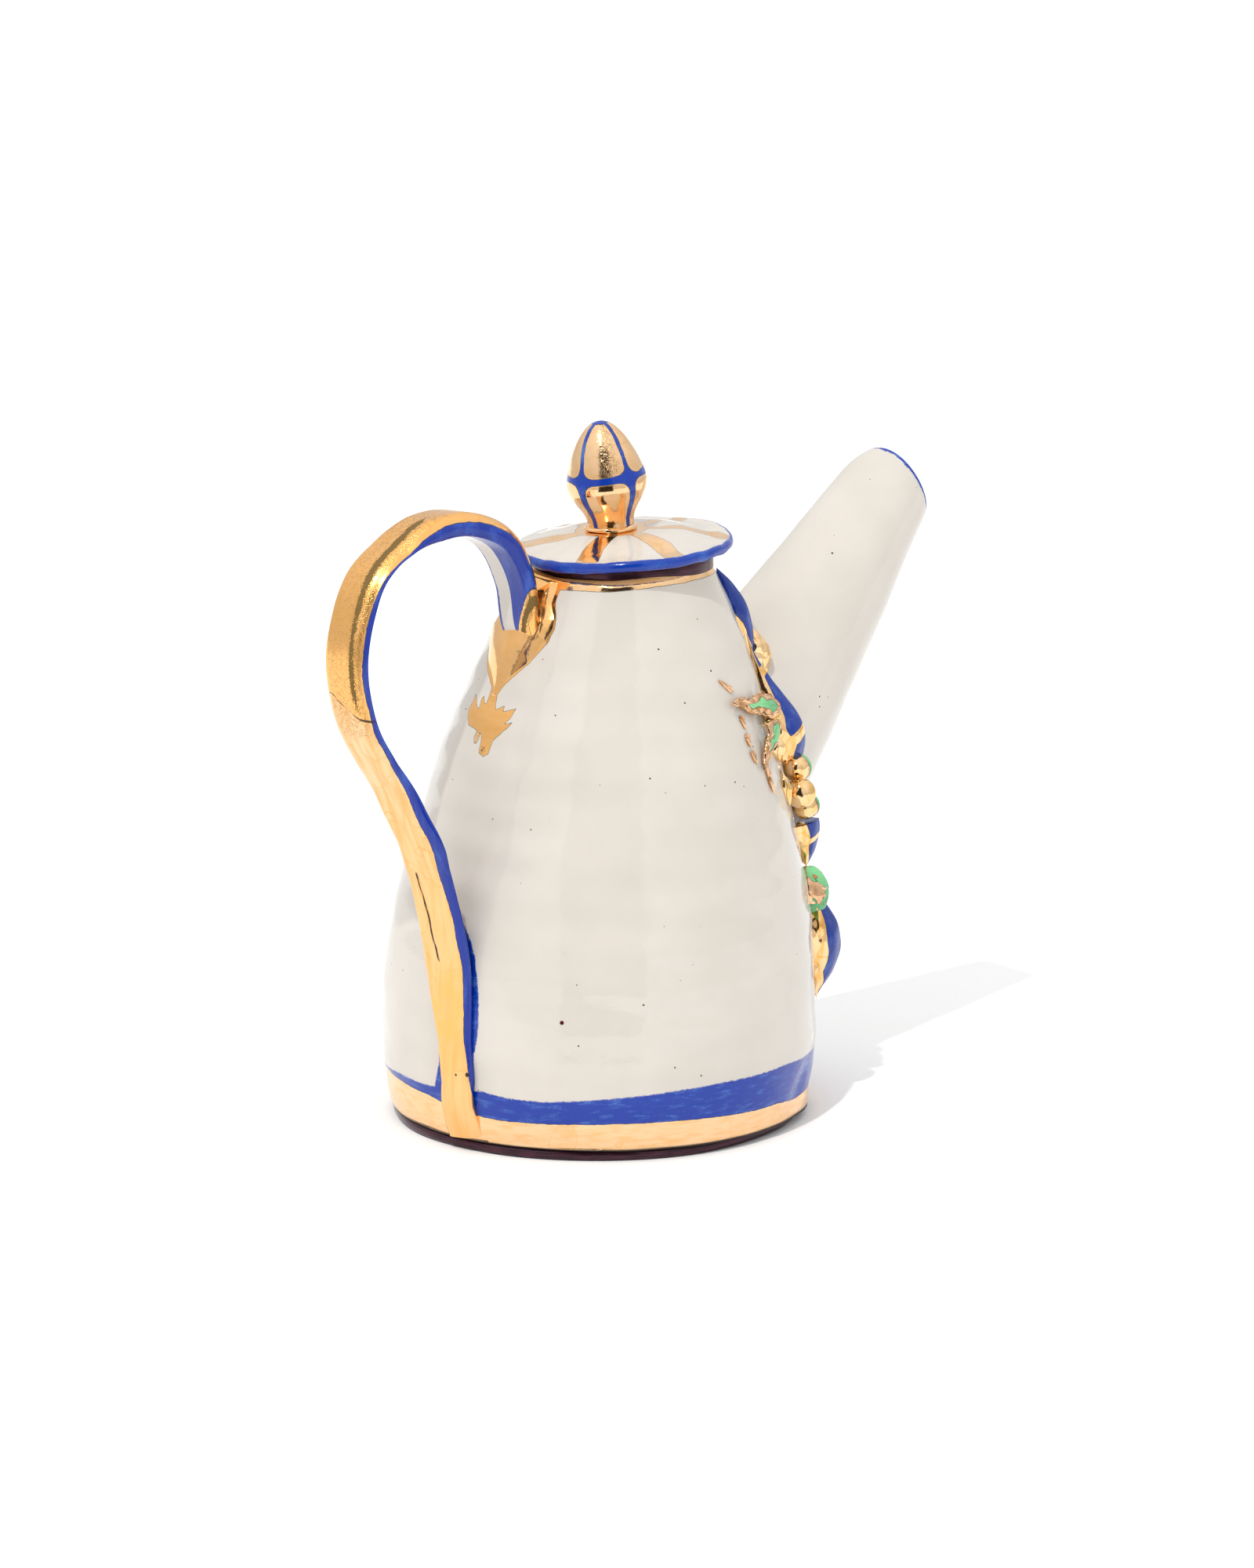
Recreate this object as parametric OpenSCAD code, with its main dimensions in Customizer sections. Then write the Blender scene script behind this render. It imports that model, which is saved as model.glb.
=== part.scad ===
// Hand-built lidded pot: a leaning conical body, a strap handle, a long cone spout, a lift-off lid with
// a bud knob, and a relief branch of petals, pods, leaflets and berries pressed on beside the spout.
// The origin is the centre of the foot on the table, +Z is up and the spout points along +X.

/* [Pot body] */
// Radius of the foot on the table
foot_r = 69; // [57:0.5:83]
// Largest radius of the wall
belly_r = 73.5; // [61:0.25:89]
// Height of the largest radius up the leaning axis
belly_h = 30; // [20:1:45]
// Radius of the wall at the neck
neck_r = 33; // [27:0.5:40]
// Height of the neck, where the wall is cut level for the lid
body_h = 186; // [150:0.5:225]
// How the wall sweeps in: 1 is a straight cone, higher is rounder
sweep = 1.84; // [1.4:0.02:2.2]
// Lean of the whole pot toward the spout, in degrees
lean = 3.4; // [0:0.1:5]
// Thickness of the wall
wall_t = 5; // [4:0.25:6.5]
// Height of the foot edge below the wall
foot_h = 3.4; // [2.5:0.1:5]
// Thickness of the floor in all
floor_t = 7; // [5.5:0.25:10]

/* [Lid] */
// Rise of the mouth toward the spout, in degrees
mouth_rise = 1.4; // [0:0.1:3]
// Rise of the mouth toward the front, in degrees
mouth_tilt = 0.9; // [0:0.1:3]
// Distance from the edge of the neck in to the neck ring
ring_set = 3; // [2:0.25:4]
// Height of the neck ring
ring_h = 6.2; // [4:0.1:8]
// Width of the neck ring's wall
ring_t = 4; // [3:0.25:5]
// Overhang of the lid past the neck
lid_over = 4; // [2:0.25:5]
// Thickness of the lid at its rim
lid_t = 3.8; // [3:0.1:5]
// Rise of the lid from its rim to the knob
lid_rise = 4; // [2:0.25:8]
// Depth of the lid's flange
flange_h = 9; // [6:0.5:14]
// Thickness of the flange
flange_t = 3; // [2.5:0.25:4]
// Radial clearance of the flange in the neck ring
flange_gap = 1; // [0.6:0.1:2]

/* [Knob] */
// Largest radius of the knob
knob_r = 13.7; // [11:0.1:16.5]
// Height of the knob
knob_h = 35.5; // [29:0.5:43]
// Radius of the knob's stem
knob_stem_r = 7.8; // [6:0.1:9]
// Radius of the collar under the knob
collar_r = 10; // [9.5:0.1:12]
// Height of the collar
collar_h = 2; // [1:0.25:4]
// Lean of the knob toward the handle, in degrees
knob_lean = 5; // [0:0.1:6]

/* [Spout] */
// Distance from the pot's centre to the centre of the spout's mouth
spout_reach = 133; // [115:0.5:150]
// Height of the centre of the spout's mouth over the neck
spout_rise = 13; // [0:0.5:24]
// Tilt of the spout from upright, in degrees
spout_tilt = 41.6; // [38:0.1:46]
// Outer radius of the spout at its mouth
spout_r = 15.1; // [12.5:0.1:18.2]
// Growth of the radius toward the root, per millimetre
spout_taper = 0.144; // [0.1:0.002:0.16]
// Thickness of the spout's wall
spout_t = 4; // [3:0.25:5]
// Slant of the mouth's cut, in degrees
spout_slant = 20.4; // [0:0.1:25]
// Diameter of one strainer hole
strainer_d = 4; // [3:0.1:4.5]
// Distance between strainer holes
strainer_pitch = 7.5; // [6.5:0.1:9]

/* [Handle] */
// Width of the strap
strap_w = 19.5; // [16:0.25:24]
// Width of the strap at its two ends
strap_end_w = 15.5; // [12.5:0.5:19]
// Thickness of the strap
strap_t = 4; // [3.2:0.1:5]
// Widest distance from the wall to the middle of the strap
strap_reach = 70; // [56:0.5:78]
// Rise of the strap's crest above the neck
strap_rise = 27.5; // [20:0.5:32]
// Distance from the neck down to where the strap comes onto the wall
strap_drop = 98; // [85:1:110]
// Height of the strap's lower end
strap_end_h = 6; // [4:0.5:12]
// Sideways lean of the strap, in degrees
strap_roll = 4.8; // [0:0.1:6]
// Sideways shift of the strap at the foot
strap_shift = 10.5; // [0:0.5:12]
// Radius of the clay pad over the strap's upper end
pad_r = 13; // [11:0.5:15]
// Height of that pad
pad_h = 2.6; // [1.5:0.1:4]

/* [Relief] */
// Height of the petals and pods over the wall, against the drawn size
relief_swell = 1; // [0.8:0.05:1.15]
// Radius of a berry
berry_r = 4.3; // [3.5:0.1:5]
// Thickness of a berry's cap
cap_t = 1.1; // [0.8:0.1:1.5]
// Radius of the cupped leaf
cup_r = 7.4; // [6:0.1:8]
// Thickness of the flat leaflets
leaflet_t = 2.2; // [1.5:0.1:3]

/* [Hidden] */
$fn = 96;
// Facets of the wall, fine enough for the thin clay pressed on it
wall_fn = 480;
// Space left between the lid and its ring
seat_gap = 0.2;
// Cuts run this far past the face that they open
over = 1;
// A block larger than the pot, for cutting by a plane
big = 400;
// Wall steps up the pot, and curve steps between two points of the strap
wall_steps = 18;
strap_steps = 5;
// The wall and the spout are drawn past their ends and then cut
past_end = 14;
spout_past = 20;

// Outline of the wall: radius at a height up the leaning axis
function wall_radius(up) = up < belly_h
    ? belly_r - (belly_r - foot_r) * pow((belly_h - up) / belly_h, 2)
    : belly_r - (belly_r - neck_r) * pow((up - belly_h) / (body_h - belly_h), sweep);
// Angle of the wall from upright at that height
function wall_slope(up) = atan((wall_radius(up - over) - wall_radius(up + over)) / (2 * over));
// Sideways shift of the pot's centre at a height
function lean_shift(up) = up * tan(lean);
// Outline points of the wall, moved out by `grow`
function wall_points(grow) = [for (i = [0:wall_steps])
    let (up = -past_end + (body_h + 2 * past_end) * i / wall_steps)
    [max(wall_radius(up) + grow, over), up]];

// The plane that the mouth is cut by, and what stands on it
mouth_off = [0.9, -1.5];
mouth_at = [lean_shift(body_h), 0, body_h] + [mouth_off[0], mouth_off[1], 0];
neck_bore_r = neck_r - wall_t - norm(mouth_off);
ring_r = neck_r - ring_set;
ring_bore_r = ring_r - ring_t;
flange_r = min(ring_bore_r, neck_bore_r) - flange_gap;
lid_r = neck_r + lid_over;
lid_seat_h = ring_h + seat_gap;
// The knob stands a little off the lid's centre
knob_x = -3.8;
knob_y = 2;
knob_side_lean = 1.3;
knob_belly_h = 0.41 * knob_h;

// The floor disc fits in a bore at the foot of the wall
floor_r = foot_r - wall_t - 2;
// Height at which a line that comes down from [x, h] at a slant meets the wall
function meets_wall(x, h, slant, guess = body_h / 2, tries = 12) = tries == 0 ? guess
    : meets_wall(x, h, slant, h - (x - lean_shift(guess) - wall_radius(guess)) / tan(slant), tries - 1);
// The spout's axis and its upper edge on the wall; its root ends inside the pot, and the wall cuts it
spout_h = body_h + spout_rise;
spout_root_h = meets_wall(spout_reach, spout_h, spout_tilt);
spout_top_h = meets_wall(spout_reach - spout_r * cos(spout_tilt), spout_h + spout_r * sin(spout_tilt),
    spout_tilt + atan(spout_taper));
spout_root_past = 34;
spout_l = (spout_h - spout_root_h) / cos(spout_tilt) + spout_root_past;
spout_root_r = spout_r + spout_taper * (spout_l - spout_root_past);
// The strainer is square to the wall, under the middle of the root
strainer_h = spout_root_h - 10;
strainer_rise = 18;
// The branch lies beside the spout: its angles are counted from the spout's side
spout_side = asin(min(spout_root_r / wall_radius(spout_root_h), 0.95));
function beside_spout(angle) = -spout_side - angle;

// Middle line of the strap, from its upper end on the neck over the crest and down to the foot
function wall_x(up) = lean_shift(up) - wall_radius(up);
neck_x = wall_x(body_h);
crest_h = body_h + strap_rise;
strap_back_h = body_h - 20.5;
strap_land_h = body_h - strap_drop;
strap_back_x = wall_x(strap_back_h) - strap_reach - strap_t / 2;
strap_line = [
    [neck_x - 4, body_h - 24.5],
    [neck_x - 9, body_h - 13.5],
    [neck_x - 10.5, body_h + 1],
    [neck_x - 14.5, body_h + strap_rise * 0.54],
    [neck_x - 25, crest_h - 3.6],
    [neck_x - 40, crest_h],
    [neck_x - 57, crest_h - 4.3],
    [strap_back_x + 10.8, body_h + 11.8],
    [strap_back_x + 2, body_h - 5.5],
    [strap_back_x, strap_back_h],
    [strap_back_x + 3, body_h - 37.5],
    [strap_back_x + 9.5, body_h - 49.5],
    [strap_back_x + 17, body_h - 61.5],
    [wall_x(strap_land_h + 25) - 29, strap_land_h + 25],
    [wall_x(strap_land_h + 12) - 20, strap_land_h + 12],
    [wall_x(strap_land_h) - 12.5, strap_land_h],
    [wall_x(strap_land_h * 0.75) - 4.5, strap_land_h * 0.75],
    [wall_x(strap_land_h * 0.5) - 1.8, strap_land_h * 0.5],
    [wall_x(strap_land_h * 0.25) - 1.5, strap_land_h * 0.25],
    [wall_x(strap_end_h) - 1.5, strap_end_h]];
// A smooth curve through the points, as a chain of cubic pieces
function curve_at(a, b, c, d, t) = 0.5 * (2 * b + (c - a) * t
    + (2 * a - 5 * b + 4 * c - d) * t * t + (3 * b - 3 * c + d - a) * t * t * t);
function smooth(p) = let (n = len(p) - 1) [for (i = [0:n - 1], k = [0:strap_steps - (i == n - 1 ? 0 : 1)])
    curve_at(p[max(i - 1, 0)], p[i], p[i + 1], p[min(i + 2, n)], k / strap_steps)];
// Each point of a line, moved square to the line by a distance
function beside(p, gap) = let (n = len(p) - 1) [for (i = [0:n])
    let (d = p[min(i + 1, n)] - p[max(i - 1, 0)], l = norm(d)) p[i] + gap * [-d[1], d[0]] / l];
function backward(p) = [for (i = [len(p) - 1:-1:0]) p[i]];

// ---- frames and shared shapes ----

// The leaning pot as one full solid, moved out by `grow`
module pot_solid(grow = 0) {
    rotate([0, lean, 0]) rotate_extrude($fn = wall_fn)
        polygon(concat([[0, -past_end]], wall_points(grow), [[0, body_h + past_end]]));
}

// Children stand on the plane of the mouth
module at_mouth(up = 0) {
    translate(mouth_at) rotate([-mouth_tilt, -mouth_rise, 0]) translate([0, 0, up]) children();
}

// Children stand at the middle of the spout's mouth, with +Z along the flow
module at_spout() {
    translate([spout_reach, 0, spout_h]) rotate([0, spout_tilt, 0]) children();
}

// Children lie on the wall: +Z outward, +X down the wall and +Y around it
module on_wall(up, around, turn = 0, lift = 0) {
    rotate([0, lean, 0]) rotate([0, 0, around]) translate([wall_radius(up), 0, up])
        rotate([0, 90 - wall_slope(up), 0]) rotate([0, 0, turn]) translate([0, 0, lift]) children();
}

// Cone along the spout, from inside the pot to past the mouth
module spout_cone(r) {
    translate([0, 0, -spout_l]) cylinder(h = spout_l + spout_past, r1 = r + spout_taper * spout_l,
        r2 = r - spout_taper * spout_past);
}

// The outside of the spout with no bore
module spout_solid() {
    at_spout() difference() {
        spout_cone(spout_r);
        rotate([0, spout_slant, 0]) translate([-big / 2, -big / 2, 0]) cube([big, big, big]);
    }
}

// A pointed round body lying along X, thickest in the middle, or further down where `late` is over 1
module spindle(l, r, late = 1) {
    steps = 10;
    rotate([0, 90, 0]) rotate_extrude()
        polygon([for (i = [0:steps]) [r * sin(180 * pow(i / steps, late)), l * (i / steps - 0.5)]]);
}

// A pointed leaf of a width with a low domed top, lying along X
module leaf_blade(l, w, t) {
    side_r = (l * l / 4 + w * w / 4) / w;
    top_r = (l * l / 4 + t * t) / (2 * t);
    intersection() {
        translate([0, 0, -2 * t]) linear_extrude(4 * t) intersection() {
            translate([0, side_r - w / 2]) circle(side_r);
            translate([0, w / 2 - side_r]) circle(side_r);
        }
        translate([0, 0, t - top_r]) sphere(top_r);
    }
}

// A relief piece is cut back to the wall and to the spout that it is pressed on
module pressed_on() {
    difference() {
        children();
        pot_solid();
        spout_solid();
    }
}

// ---- the pot ----

// Floor disc with the foot edge, plugged into the wall
module base_slab() {
    color("#4a2430") union() {
        cylinder(h = foot_h, r = foot_r);
        cylinder(h = floor_t, r = floor_r);
    }
}

// Conical wall, open at the neck, with the strainer holes behind the spout
module body_wall() {
    color("#e8e1d6") difference() {
        pot_solid();
        difference() {
            pot_solid(-wall_t);
            translate([-big / 2, -big / 2, -big]) cube([big, big, big + floor_t]);
        }
        cylinder(h = floor_t, r = floor_r);
        translate([-big / 2, -big / 2, foot_h - big]) cube([big, big, big]);
        at_mouth() translate([-big / 2, -big / 2, 0]) cube([big, big, big]);
        strainer_holes();
    }
}

// One hole, a ring of six and a ring of twelve
module strainer_holes() {
    translate([wall_radius(strainer_h), 0, strainer_h]) rotate([0, 90 - strainer_rise, 0])
        for (ring = [0:2], i = [0:max(ring * 6 - 1, 0)])
            rotate([0, 0, ring == 0 ? 0 : i * 60 / ring]) translate([ring * strainer_pitch, 0, -5 * wall_t])
                cylinder(h = 10 * wall_t, d = strainer_d);
}

// Low collar that the lid rests on
module neck_ring() {
    color("#503735") at_mouth() difference() {
        cylinder(h = ring_h, r = ring_r);
        translate([0, 0, -over]) cylinder(h = ring_h + 2 * over, r = ring_bore_r);
    }
}

// Long cone spout, luted over the strainer
module spout() {
    color("#e6ddd2") difference() {
        spout_solid();
        at_spout() spout_cone(spout_r - spout_t);
        pot_solid();
    }
}

// ---- the handle ----

// The strap as it is bent, narrowed on its far side toward both ends, before the wall cuts it
module strap_solid() {
    line = smooth(strap_line);
    narrow = strap_w - strap_end_w;
    upper_l = 42;
    lower_l = strap_land_h + 24;
    translate([0, -strap_shift, 0]) rotate([-strap_roll, 0, 0]) difference() {
        rotate([90, 0, 0]) linear_extrude(strap_w, center = true)
            polygon(concat(beside(line, strap_t / 2), backward(beside(line, -strap_t / 2))));
        translate([neck_x, strap_w / 2 - narrow, 0]) rotate([0, 0, -atan(narrow / upper_l)])
            translate([-big, 0, body_h - 45]) cube([2 * big, strap_w, big]);
        translate([0, strap_w / 2 - narrow, 0]) rotate([-atan(narrow / lower_l), 0, 0])
            translate([-big, 0, -big]) cube([2 * big, strap_w, 2 * big]);
    }
}

// One strap from the neck over the crest and down the wall to the foot
module handle_strap() {
    color("#d2a05a") difference() {
        strap_solid();
        pot_solid();
        handle_ring_room();
        translate([-big / 2, -big / 2, foot_h - big]) cube([big, big, big]);
    }
}

// Room beside the strap for the neck ring
module handle_ring_room() {
    at_mouth(-over) cylinder(h = ring_h + over, r = ring_r + over);
}

// Clay pad thumbed over the strap's upper end
module handle_pad() {
    pad_drop = 21;
    pad_around = 179.5;
    dome_r = (pad_r * pad_r + pad_h * pad_h) / (2 * pad_h);
    color("#dba86a") difference() {
        intersection() {
            on_wall(body_h - pad_drop, pad_around, 0, pad_h - dome_r) sphere(dome_r);
            on_wall(body_h - pad_drop, pad_around, 0, -pad_r) cylinder(h = 3 * pad_r, r = pad_r + 3);
        }
        pot_solid();
        strap_solid();
        handle_ring_room();
    }
}

// ---- the lid ----

// Domed lid disc with a rounded rim
module lid_plate() {
    rim_r = lid_t / 2;
    flat_r = collar_r + 3;
    color("#e8e1d6") at_mouth(lid_seat_h) rotate_extrude() union() {
        translate([lid_r - rim_r, rim_r]) circle(rim_r);
        square([lid_r - rim_r, lid_t]);
        polygon(concat([[0, lid_t / 2]], [for (i = [0:8])
            let (r = lid_r - rim_r - (lid_r - rim_r - flat_r) * i / 8)
            [r, lid_t + lid_rise * (1 - cos(180 * i / 8)) / 2]], [[0, lid_t + lid_rise]]));
    }
}

// Flange that keeps the lid in the neck
module lid_flange() {
    color("#d8cfc4") at_mouth(lid_seat_h - flange_h) difference() {
        cylinder(h = flange_h, r = flange_r);
        translate([0, 0, -over]) cylinder(h = flange_h + 2 * over, r = flange_r - flange_t);
    }
}

// Children stand on the middle of the lid, where the knob is
module on_lid(up = 0) {
    at_mouth(lid_seat_h + lid_t + lid_rise + up) translate([knob_x, knob_y, 0]) children();
}

// Roll of clay under the knob
module knob_collar() {
    color("#c48a3c") on_lid() rotate_extrude() intersection() {
        square([collar_r, collar_h]);
        union() {
            translate([collar_r - collar_h, 0]) circle(collar_h);
            square([collar_r - collar_h, collar_h]);
        }
    }
}

// Radius of the knob at a height: a soft swell over the stem, and a round cone to the tip
function knob_radius(h) = h < knob_belly_h
    ? knob_stem_r + (knob_r - knob_stem_r) * (1 + cos(180 * (1 - h / knob_belly_h))) / 2
    : knob_r * sqrt(max(0, 1 - pow((h - knob_belly_h) / (knob_h - knob_belly_h), 1.25)));

// Bud-shaped knob
module knob() {
    steps = 20;
    color("#dca24a") on_lid(collar_h) difference() {
        rotate([-knob_side_lean, -knob_lean, 0]) rotate_extrude()
            polygon(concat([[0, -over], [knob_stem_r, -over]],
                [for (i = [0:steps - 1]) let (h = knob_h * sin(90 * i / steps)) [knob_radius(h), h]],
                [[0, knob_h]]));
        translate([-2 * knob_r, -2 * knob_r, -big]) cube([4 * knob_r, 4 * knob_r, big]);
    }
}

// ---- the relief branch beside the spout ----

// Children lie on the wall, a drop down from the neck and an angle away from the spout's side
module on_branch(drop, angle, turn = 0, lift = 0) {
    on_wall(body_h - drop, beside_spout(angle), turn, lift) children();
}

// Long slender leaf that starts under the neck
module long_leaf() {
    color("#33479f") pressed_on() on_branch(15, 2.1, 4) spindle(34, 4.8 * relief_swell);
}

// Short bract behind the two large petals
module far_bract() {
    color("#d8a05c") difference() {
        pressed_on() on_wall(spout_top_h + 2, beside_spout(-9.9), 0, 1) spindle(20, 4.6 * relief_swell);
        long_leaf_room();
    }
}

// Large banded petal
module upper_petal() {
    color("#3a52ae") difference() {
        pressed_on() on_branch(43, 7.1, 2, 0.5) spindle(53, 8.6 * relief_swell, 1.5);
        long_leaf_room();
        berry_at(0, cap_t + 0.3);
    }
}

// Room for the long leaf beside the petal
module long_leaf_room() {
    on_branch(15, 2.1, 4) spindle(34.6, 4.8 * relief_swell + 0.3);
}

// Higher leaflet of the star, pointing up and to the handle
module leaflet_high() {
    color("#82dc8c") pressed_on() on_branch(41, 36.1, -122) leaf_blade(22, 8.5, leaflet_t);
}

// Lower leaflet of the star
module leaflet_low() {
    color("#82dc8c") pressed_on() on_branch(54, 32.1, -28) leaf_blade(17, 8, leaflet_t);
}

// Thin tail that runs on from the lower leaflet
module leaf_tail() {
    color("#b9824a") pressed_on() on_branch(65.5, 34.6, -6) leaf_blade(9, 3.2, 1.5);
}

// Thin tendril that runs on from the higher leaflet
module tendril() {
    color("#b9824a") pressed_on() on_branch(32.5, 48.1, -128) leaf_blade(8, 2.8, 1.4);
}

// Three flecks of clay under the star
module clay_flecks() {
    color("#c8905a") pressed_on() for (p = [[45, 42.6], [50.8, 41.9], [56.5, 41.1]])
        on_branch(p[0], p[1], 10) leaf_blade(5, 2.8, 1.3);
}

// Folded hood where the leaflets join
module hood() {
    color("#e0a868") pressed_on() on_branch(46.5, 20.1, 20, 0.5) spindle(9, 4.2);
}

// Sepal between the hood and the berries
module sepal() {
    color("#c98f4a") pressed_on() on_branch(56.5, 20.6, 4, 0.2) spindle(10.5, 3.2);
}

// The berries lie in a short row: drop from the neck, angle from the spout's side
berry_places = [[66.5, 9.1], [73.5, 15.1], [80, 6.1]];
berry_lift = 3.6;
module berry_at(i, grow = 0) {
    on_branch(berry_places[i][0], berry_places[i][1], 0, berry_lift) sphere(berry_r + grow);
}

module berry_high() {
    color("#d99a48") pressed_on() berry_at(0);
}

module berry_middle() {
    color("#d99a48") pressed_on() berry_at(1);
}

module berry_low() {
    color("#d99a48") pressed_on() berry_at(2);
}

// Glazed caps on the two outer berries
module berry_caps() {
    color("#6fce7e") for (i = [0, 2])
        on_branch(berry_places[i][0], berry_places[i][1], 0, berry_lift) rotate([-50, 0, 0]) difference() {
            sphere(berry_r + cap_t);
            sphere(berry_r);
            translate([-big / 2, -big / 2, berry_r * 0.35 - big]) cube([big, big, big]);
        }
}

// Thin stem from the sepal to the berries
module stem() {
    color("#c98f4a") pressed_on() on_branch(70, 20.6, 0) spindle(13, 2.2);
}

// Petal below the berries
module lower_petal() {
    color("#3a52ae") pressed_on() on_branch(86, 2.1, 0, 0.5) intersection() {
        spindle(30, 7 * relief_swell);
        translate([-0.2, -big / 2, -big / 2]) cube([big, big, big]);
    }
}

// Cupped leaf that stands over the pod's upper end
module cup_leaf() {
    color("#7fd08a") difference() {
        on_branch(108.5, 11.1, 0, -0.5) difference() {
            cup_ball(cup_r);
            cup_ball(cup_r - leaflet_t);
            translate([-2 * cup_r, -4 * cup_r - 1, -2 * cup_r]) cube(4 * cup_r);
            translate([0.4 * cup_r, -2 * cup_r, -2 * cup_r]) cube(4 * cup_r);
        }
        pot_solid();
    }
}

// Ball that the cupped leaf is a part of
module cup_ball(r) {
    rotate_extrude() polygon([for (a = [-90:15:90]) r * [cos(a), sin(a)]]);
}

// Long pod low on the wall
module pod() {
    color("#33479f") pressed_on() on_branch(129, 0.1, 0, 0.8) spindle(40, 9 * relief_swell);
}

base_slab();
body_wall();
neck_ring();
spout();
handle_strap();
handle_pad();
lid_plate();
lid_flange();
knob_collar();
knob();
long_leaf();
far_bract();
upper_petal();
leaflet_high();
leaflet_low();
leaf_tail();
tendril();
clay_flecks();
hood();
sepal();
berry_high();
berry_middle();
berry_low();
berry_caps();
stem();
lower_petal();
cup_leaf();
pod();
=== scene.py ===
# A hand-built lidded pot: leaning wall, cone spout, strap handle, lift-off lid with a bud knob, and a branch
# of petals, leaflets, berries and pods pressed on beside the spout. White glaze, cobalt brushwork and gold
# lustre.
import math

import bpy
import numpy as np
from mathutils import Matrix, Vector, noise


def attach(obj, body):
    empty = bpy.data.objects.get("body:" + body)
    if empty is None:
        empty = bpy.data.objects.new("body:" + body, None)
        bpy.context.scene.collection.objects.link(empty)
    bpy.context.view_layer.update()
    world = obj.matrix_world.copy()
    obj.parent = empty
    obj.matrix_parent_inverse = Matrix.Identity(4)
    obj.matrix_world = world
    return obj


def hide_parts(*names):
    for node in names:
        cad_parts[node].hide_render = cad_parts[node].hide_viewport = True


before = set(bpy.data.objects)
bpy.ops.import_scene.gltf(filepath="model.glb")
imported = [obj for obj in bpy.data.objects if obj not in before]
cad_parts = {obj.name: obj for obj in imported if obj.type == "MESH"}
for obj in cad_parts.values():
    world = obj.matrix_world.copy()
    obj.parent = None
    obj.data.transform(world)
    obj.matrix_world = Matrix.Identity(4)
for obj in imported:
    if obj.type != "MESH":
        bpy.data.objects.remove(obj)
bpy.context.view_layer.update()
MM = 0.001

# ---- the table, the light and the camera ----
# A white sheet under a bright room, one hard lamp high behind the camera's left shoulder, and a dark flag
# in front of the pot, which the gold mirrors as brown.
CAMERA_TURN, CAMERA_RISE, CAMERA_FAR = math.radians(-39.9), math.radians(15), 4.0
LENS_MM, FILM_MM = 270.6, 36
AIM_RIGHT, AIM_UP = 0.01084, 0.1102
back = Vector((math.sin(CAMERA_TURN) * math.cos(CAMERA_RISE),
               -math.cos(CAMERA_TURN) * math.cos(CAMERA_RISE), math.sin(CAMERA_RISE)))
right = Vector((math.cos(CAMERA_TURN), math.sin(CAMERA_TURN), 0))
camera = bpy.data.objects.new("camera", bpy.data.cameras.new("camera"))
camera.data.lens, camera.data.sensor_width = LENS_MM, FILM_MM
camera.location = back * CAMERA_FAR
aim = right * AIM_RIGHT + back.cross(right) * AIM_UP
camera.rotation_euler = (camera.location - aim).to_track_quat("Z", "Y").to_euler()
bpy.context.collection.objects.link(camera)
bpy.context.scene.camera = camera
bpy.context.scene.view_settings.view_transform = "Standard"

SUN_TURN, SUN_RISE, SUN_POWER, SUN_SIZE = math.radians(-152.7), math.radians(59.3), 1.35, math.radians(1.6)
sun = bpy.data.objects.new("key_lamp", bpy.data.lights.new("key_lamp", "SUN"))
sun.data.energy, sun.data.angle, sun.data.color = SUN_POWER, SUN_SIZE, (1, 0.985, 0.96)
sun_way = Vector((math.cos(SUN_TURN) * math.cos(SUN_RISE), math.sin(SUN_TURN) * math.cos(SUN_RISE),
                  math.sin(SUN_RISE)))
sun.rotation_euler = sun_way.to_track_quat("Z", "Y").to_euler()
bpy.context.collection.objects.link(sun)


class Socket:
    """An output in a node tree: + - * / on it add Math nodes, and node() adds any other node."""

    def __init__(self, tree, output):
        self.tree, self.output = tree, output

    def node(self, kind, values=None, out=0, stops=None, **settings):
        new = self.tree.nodes.new("ShaderNode" + kind)
        for name, setting in settings.items():
            setattr(new, name, setting)
        if stops:
            ramp = new.color_ramp.elements
            while len(ramp) < len(stops):
                ramp.new(1)
            for stop, (at, colour) in zip(ramp, stops):
                stop.position, stop.color = at, (*colour, 1)
        for key, value in (values or {}).items():
            if isinstance(value, Socket):
                self.tree.links.new(value.output, new.inputs[key])
            else:
                new.inputs[key].default_value = value
        return Socket(self.tree, new.outputs[out])

    def also(self, out):
        """Another output of the same node."""
        return Socket(self.tree, self.output.node.outputs[out])

    def math(self, operation, *others):
        return self.node("Math", dict(enumerate((self, *others))), operation=operation)

    def __add__(self, other):
        return self.math("ADD", other)

    def __sub__(self, other):
        return self.math("SUBTRACT", other)

    def __mul__(self, other):
        return self.math("MULTIPLY", other)

    def __rsub__(self, other):
        return self.node("Math", {0: other, 1: self}, operation="SUBTRACT")

    __radd__ = __add__
    __rmul__ = __mul__

    def soft(self, low, high):
        """0 below low, 1 above high, and a smooth step between."""
        return self.node("MapRange", {0: self, 1: low, 2: high}, interpolation_type="SMOOTHSTEP")

    def mix(self, low, high):
        """The colour low where this is 0 and high where it is 1."""
        low, high = [c if isinstance(c, Socket) else (*c, 1) for c in (low, high)]
        return self.node("Mix", {0: self, 6: low, 7: high}, out=2, data_type="RGBA")

    def stretch(self, x, y, z):
        return self.node("Mapping", {"Vector": self, "Scale": (x, y, z)})

    def clouds(self, size, detail=2.0, shift=0.0):
        """Noise from 0 to 1 on these coordinates, with clouds of a size in mm."""
        moved = self.node("Mapping", {"Vector": self, "Location": (shift, shift, shift)})
        return moved.node("TexNoise", {"Vector": moved, "Scale": 1 / (size * MM), "Detail": detail})

    def mark(self, name):
        return self.node("Attribute", out="Fac", attribute_name=name)

    def feed(self, socket):
        self.tree.links.new(self.output, self.tree.nodes["Principled BSDF"].inputs[socket])


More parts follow.
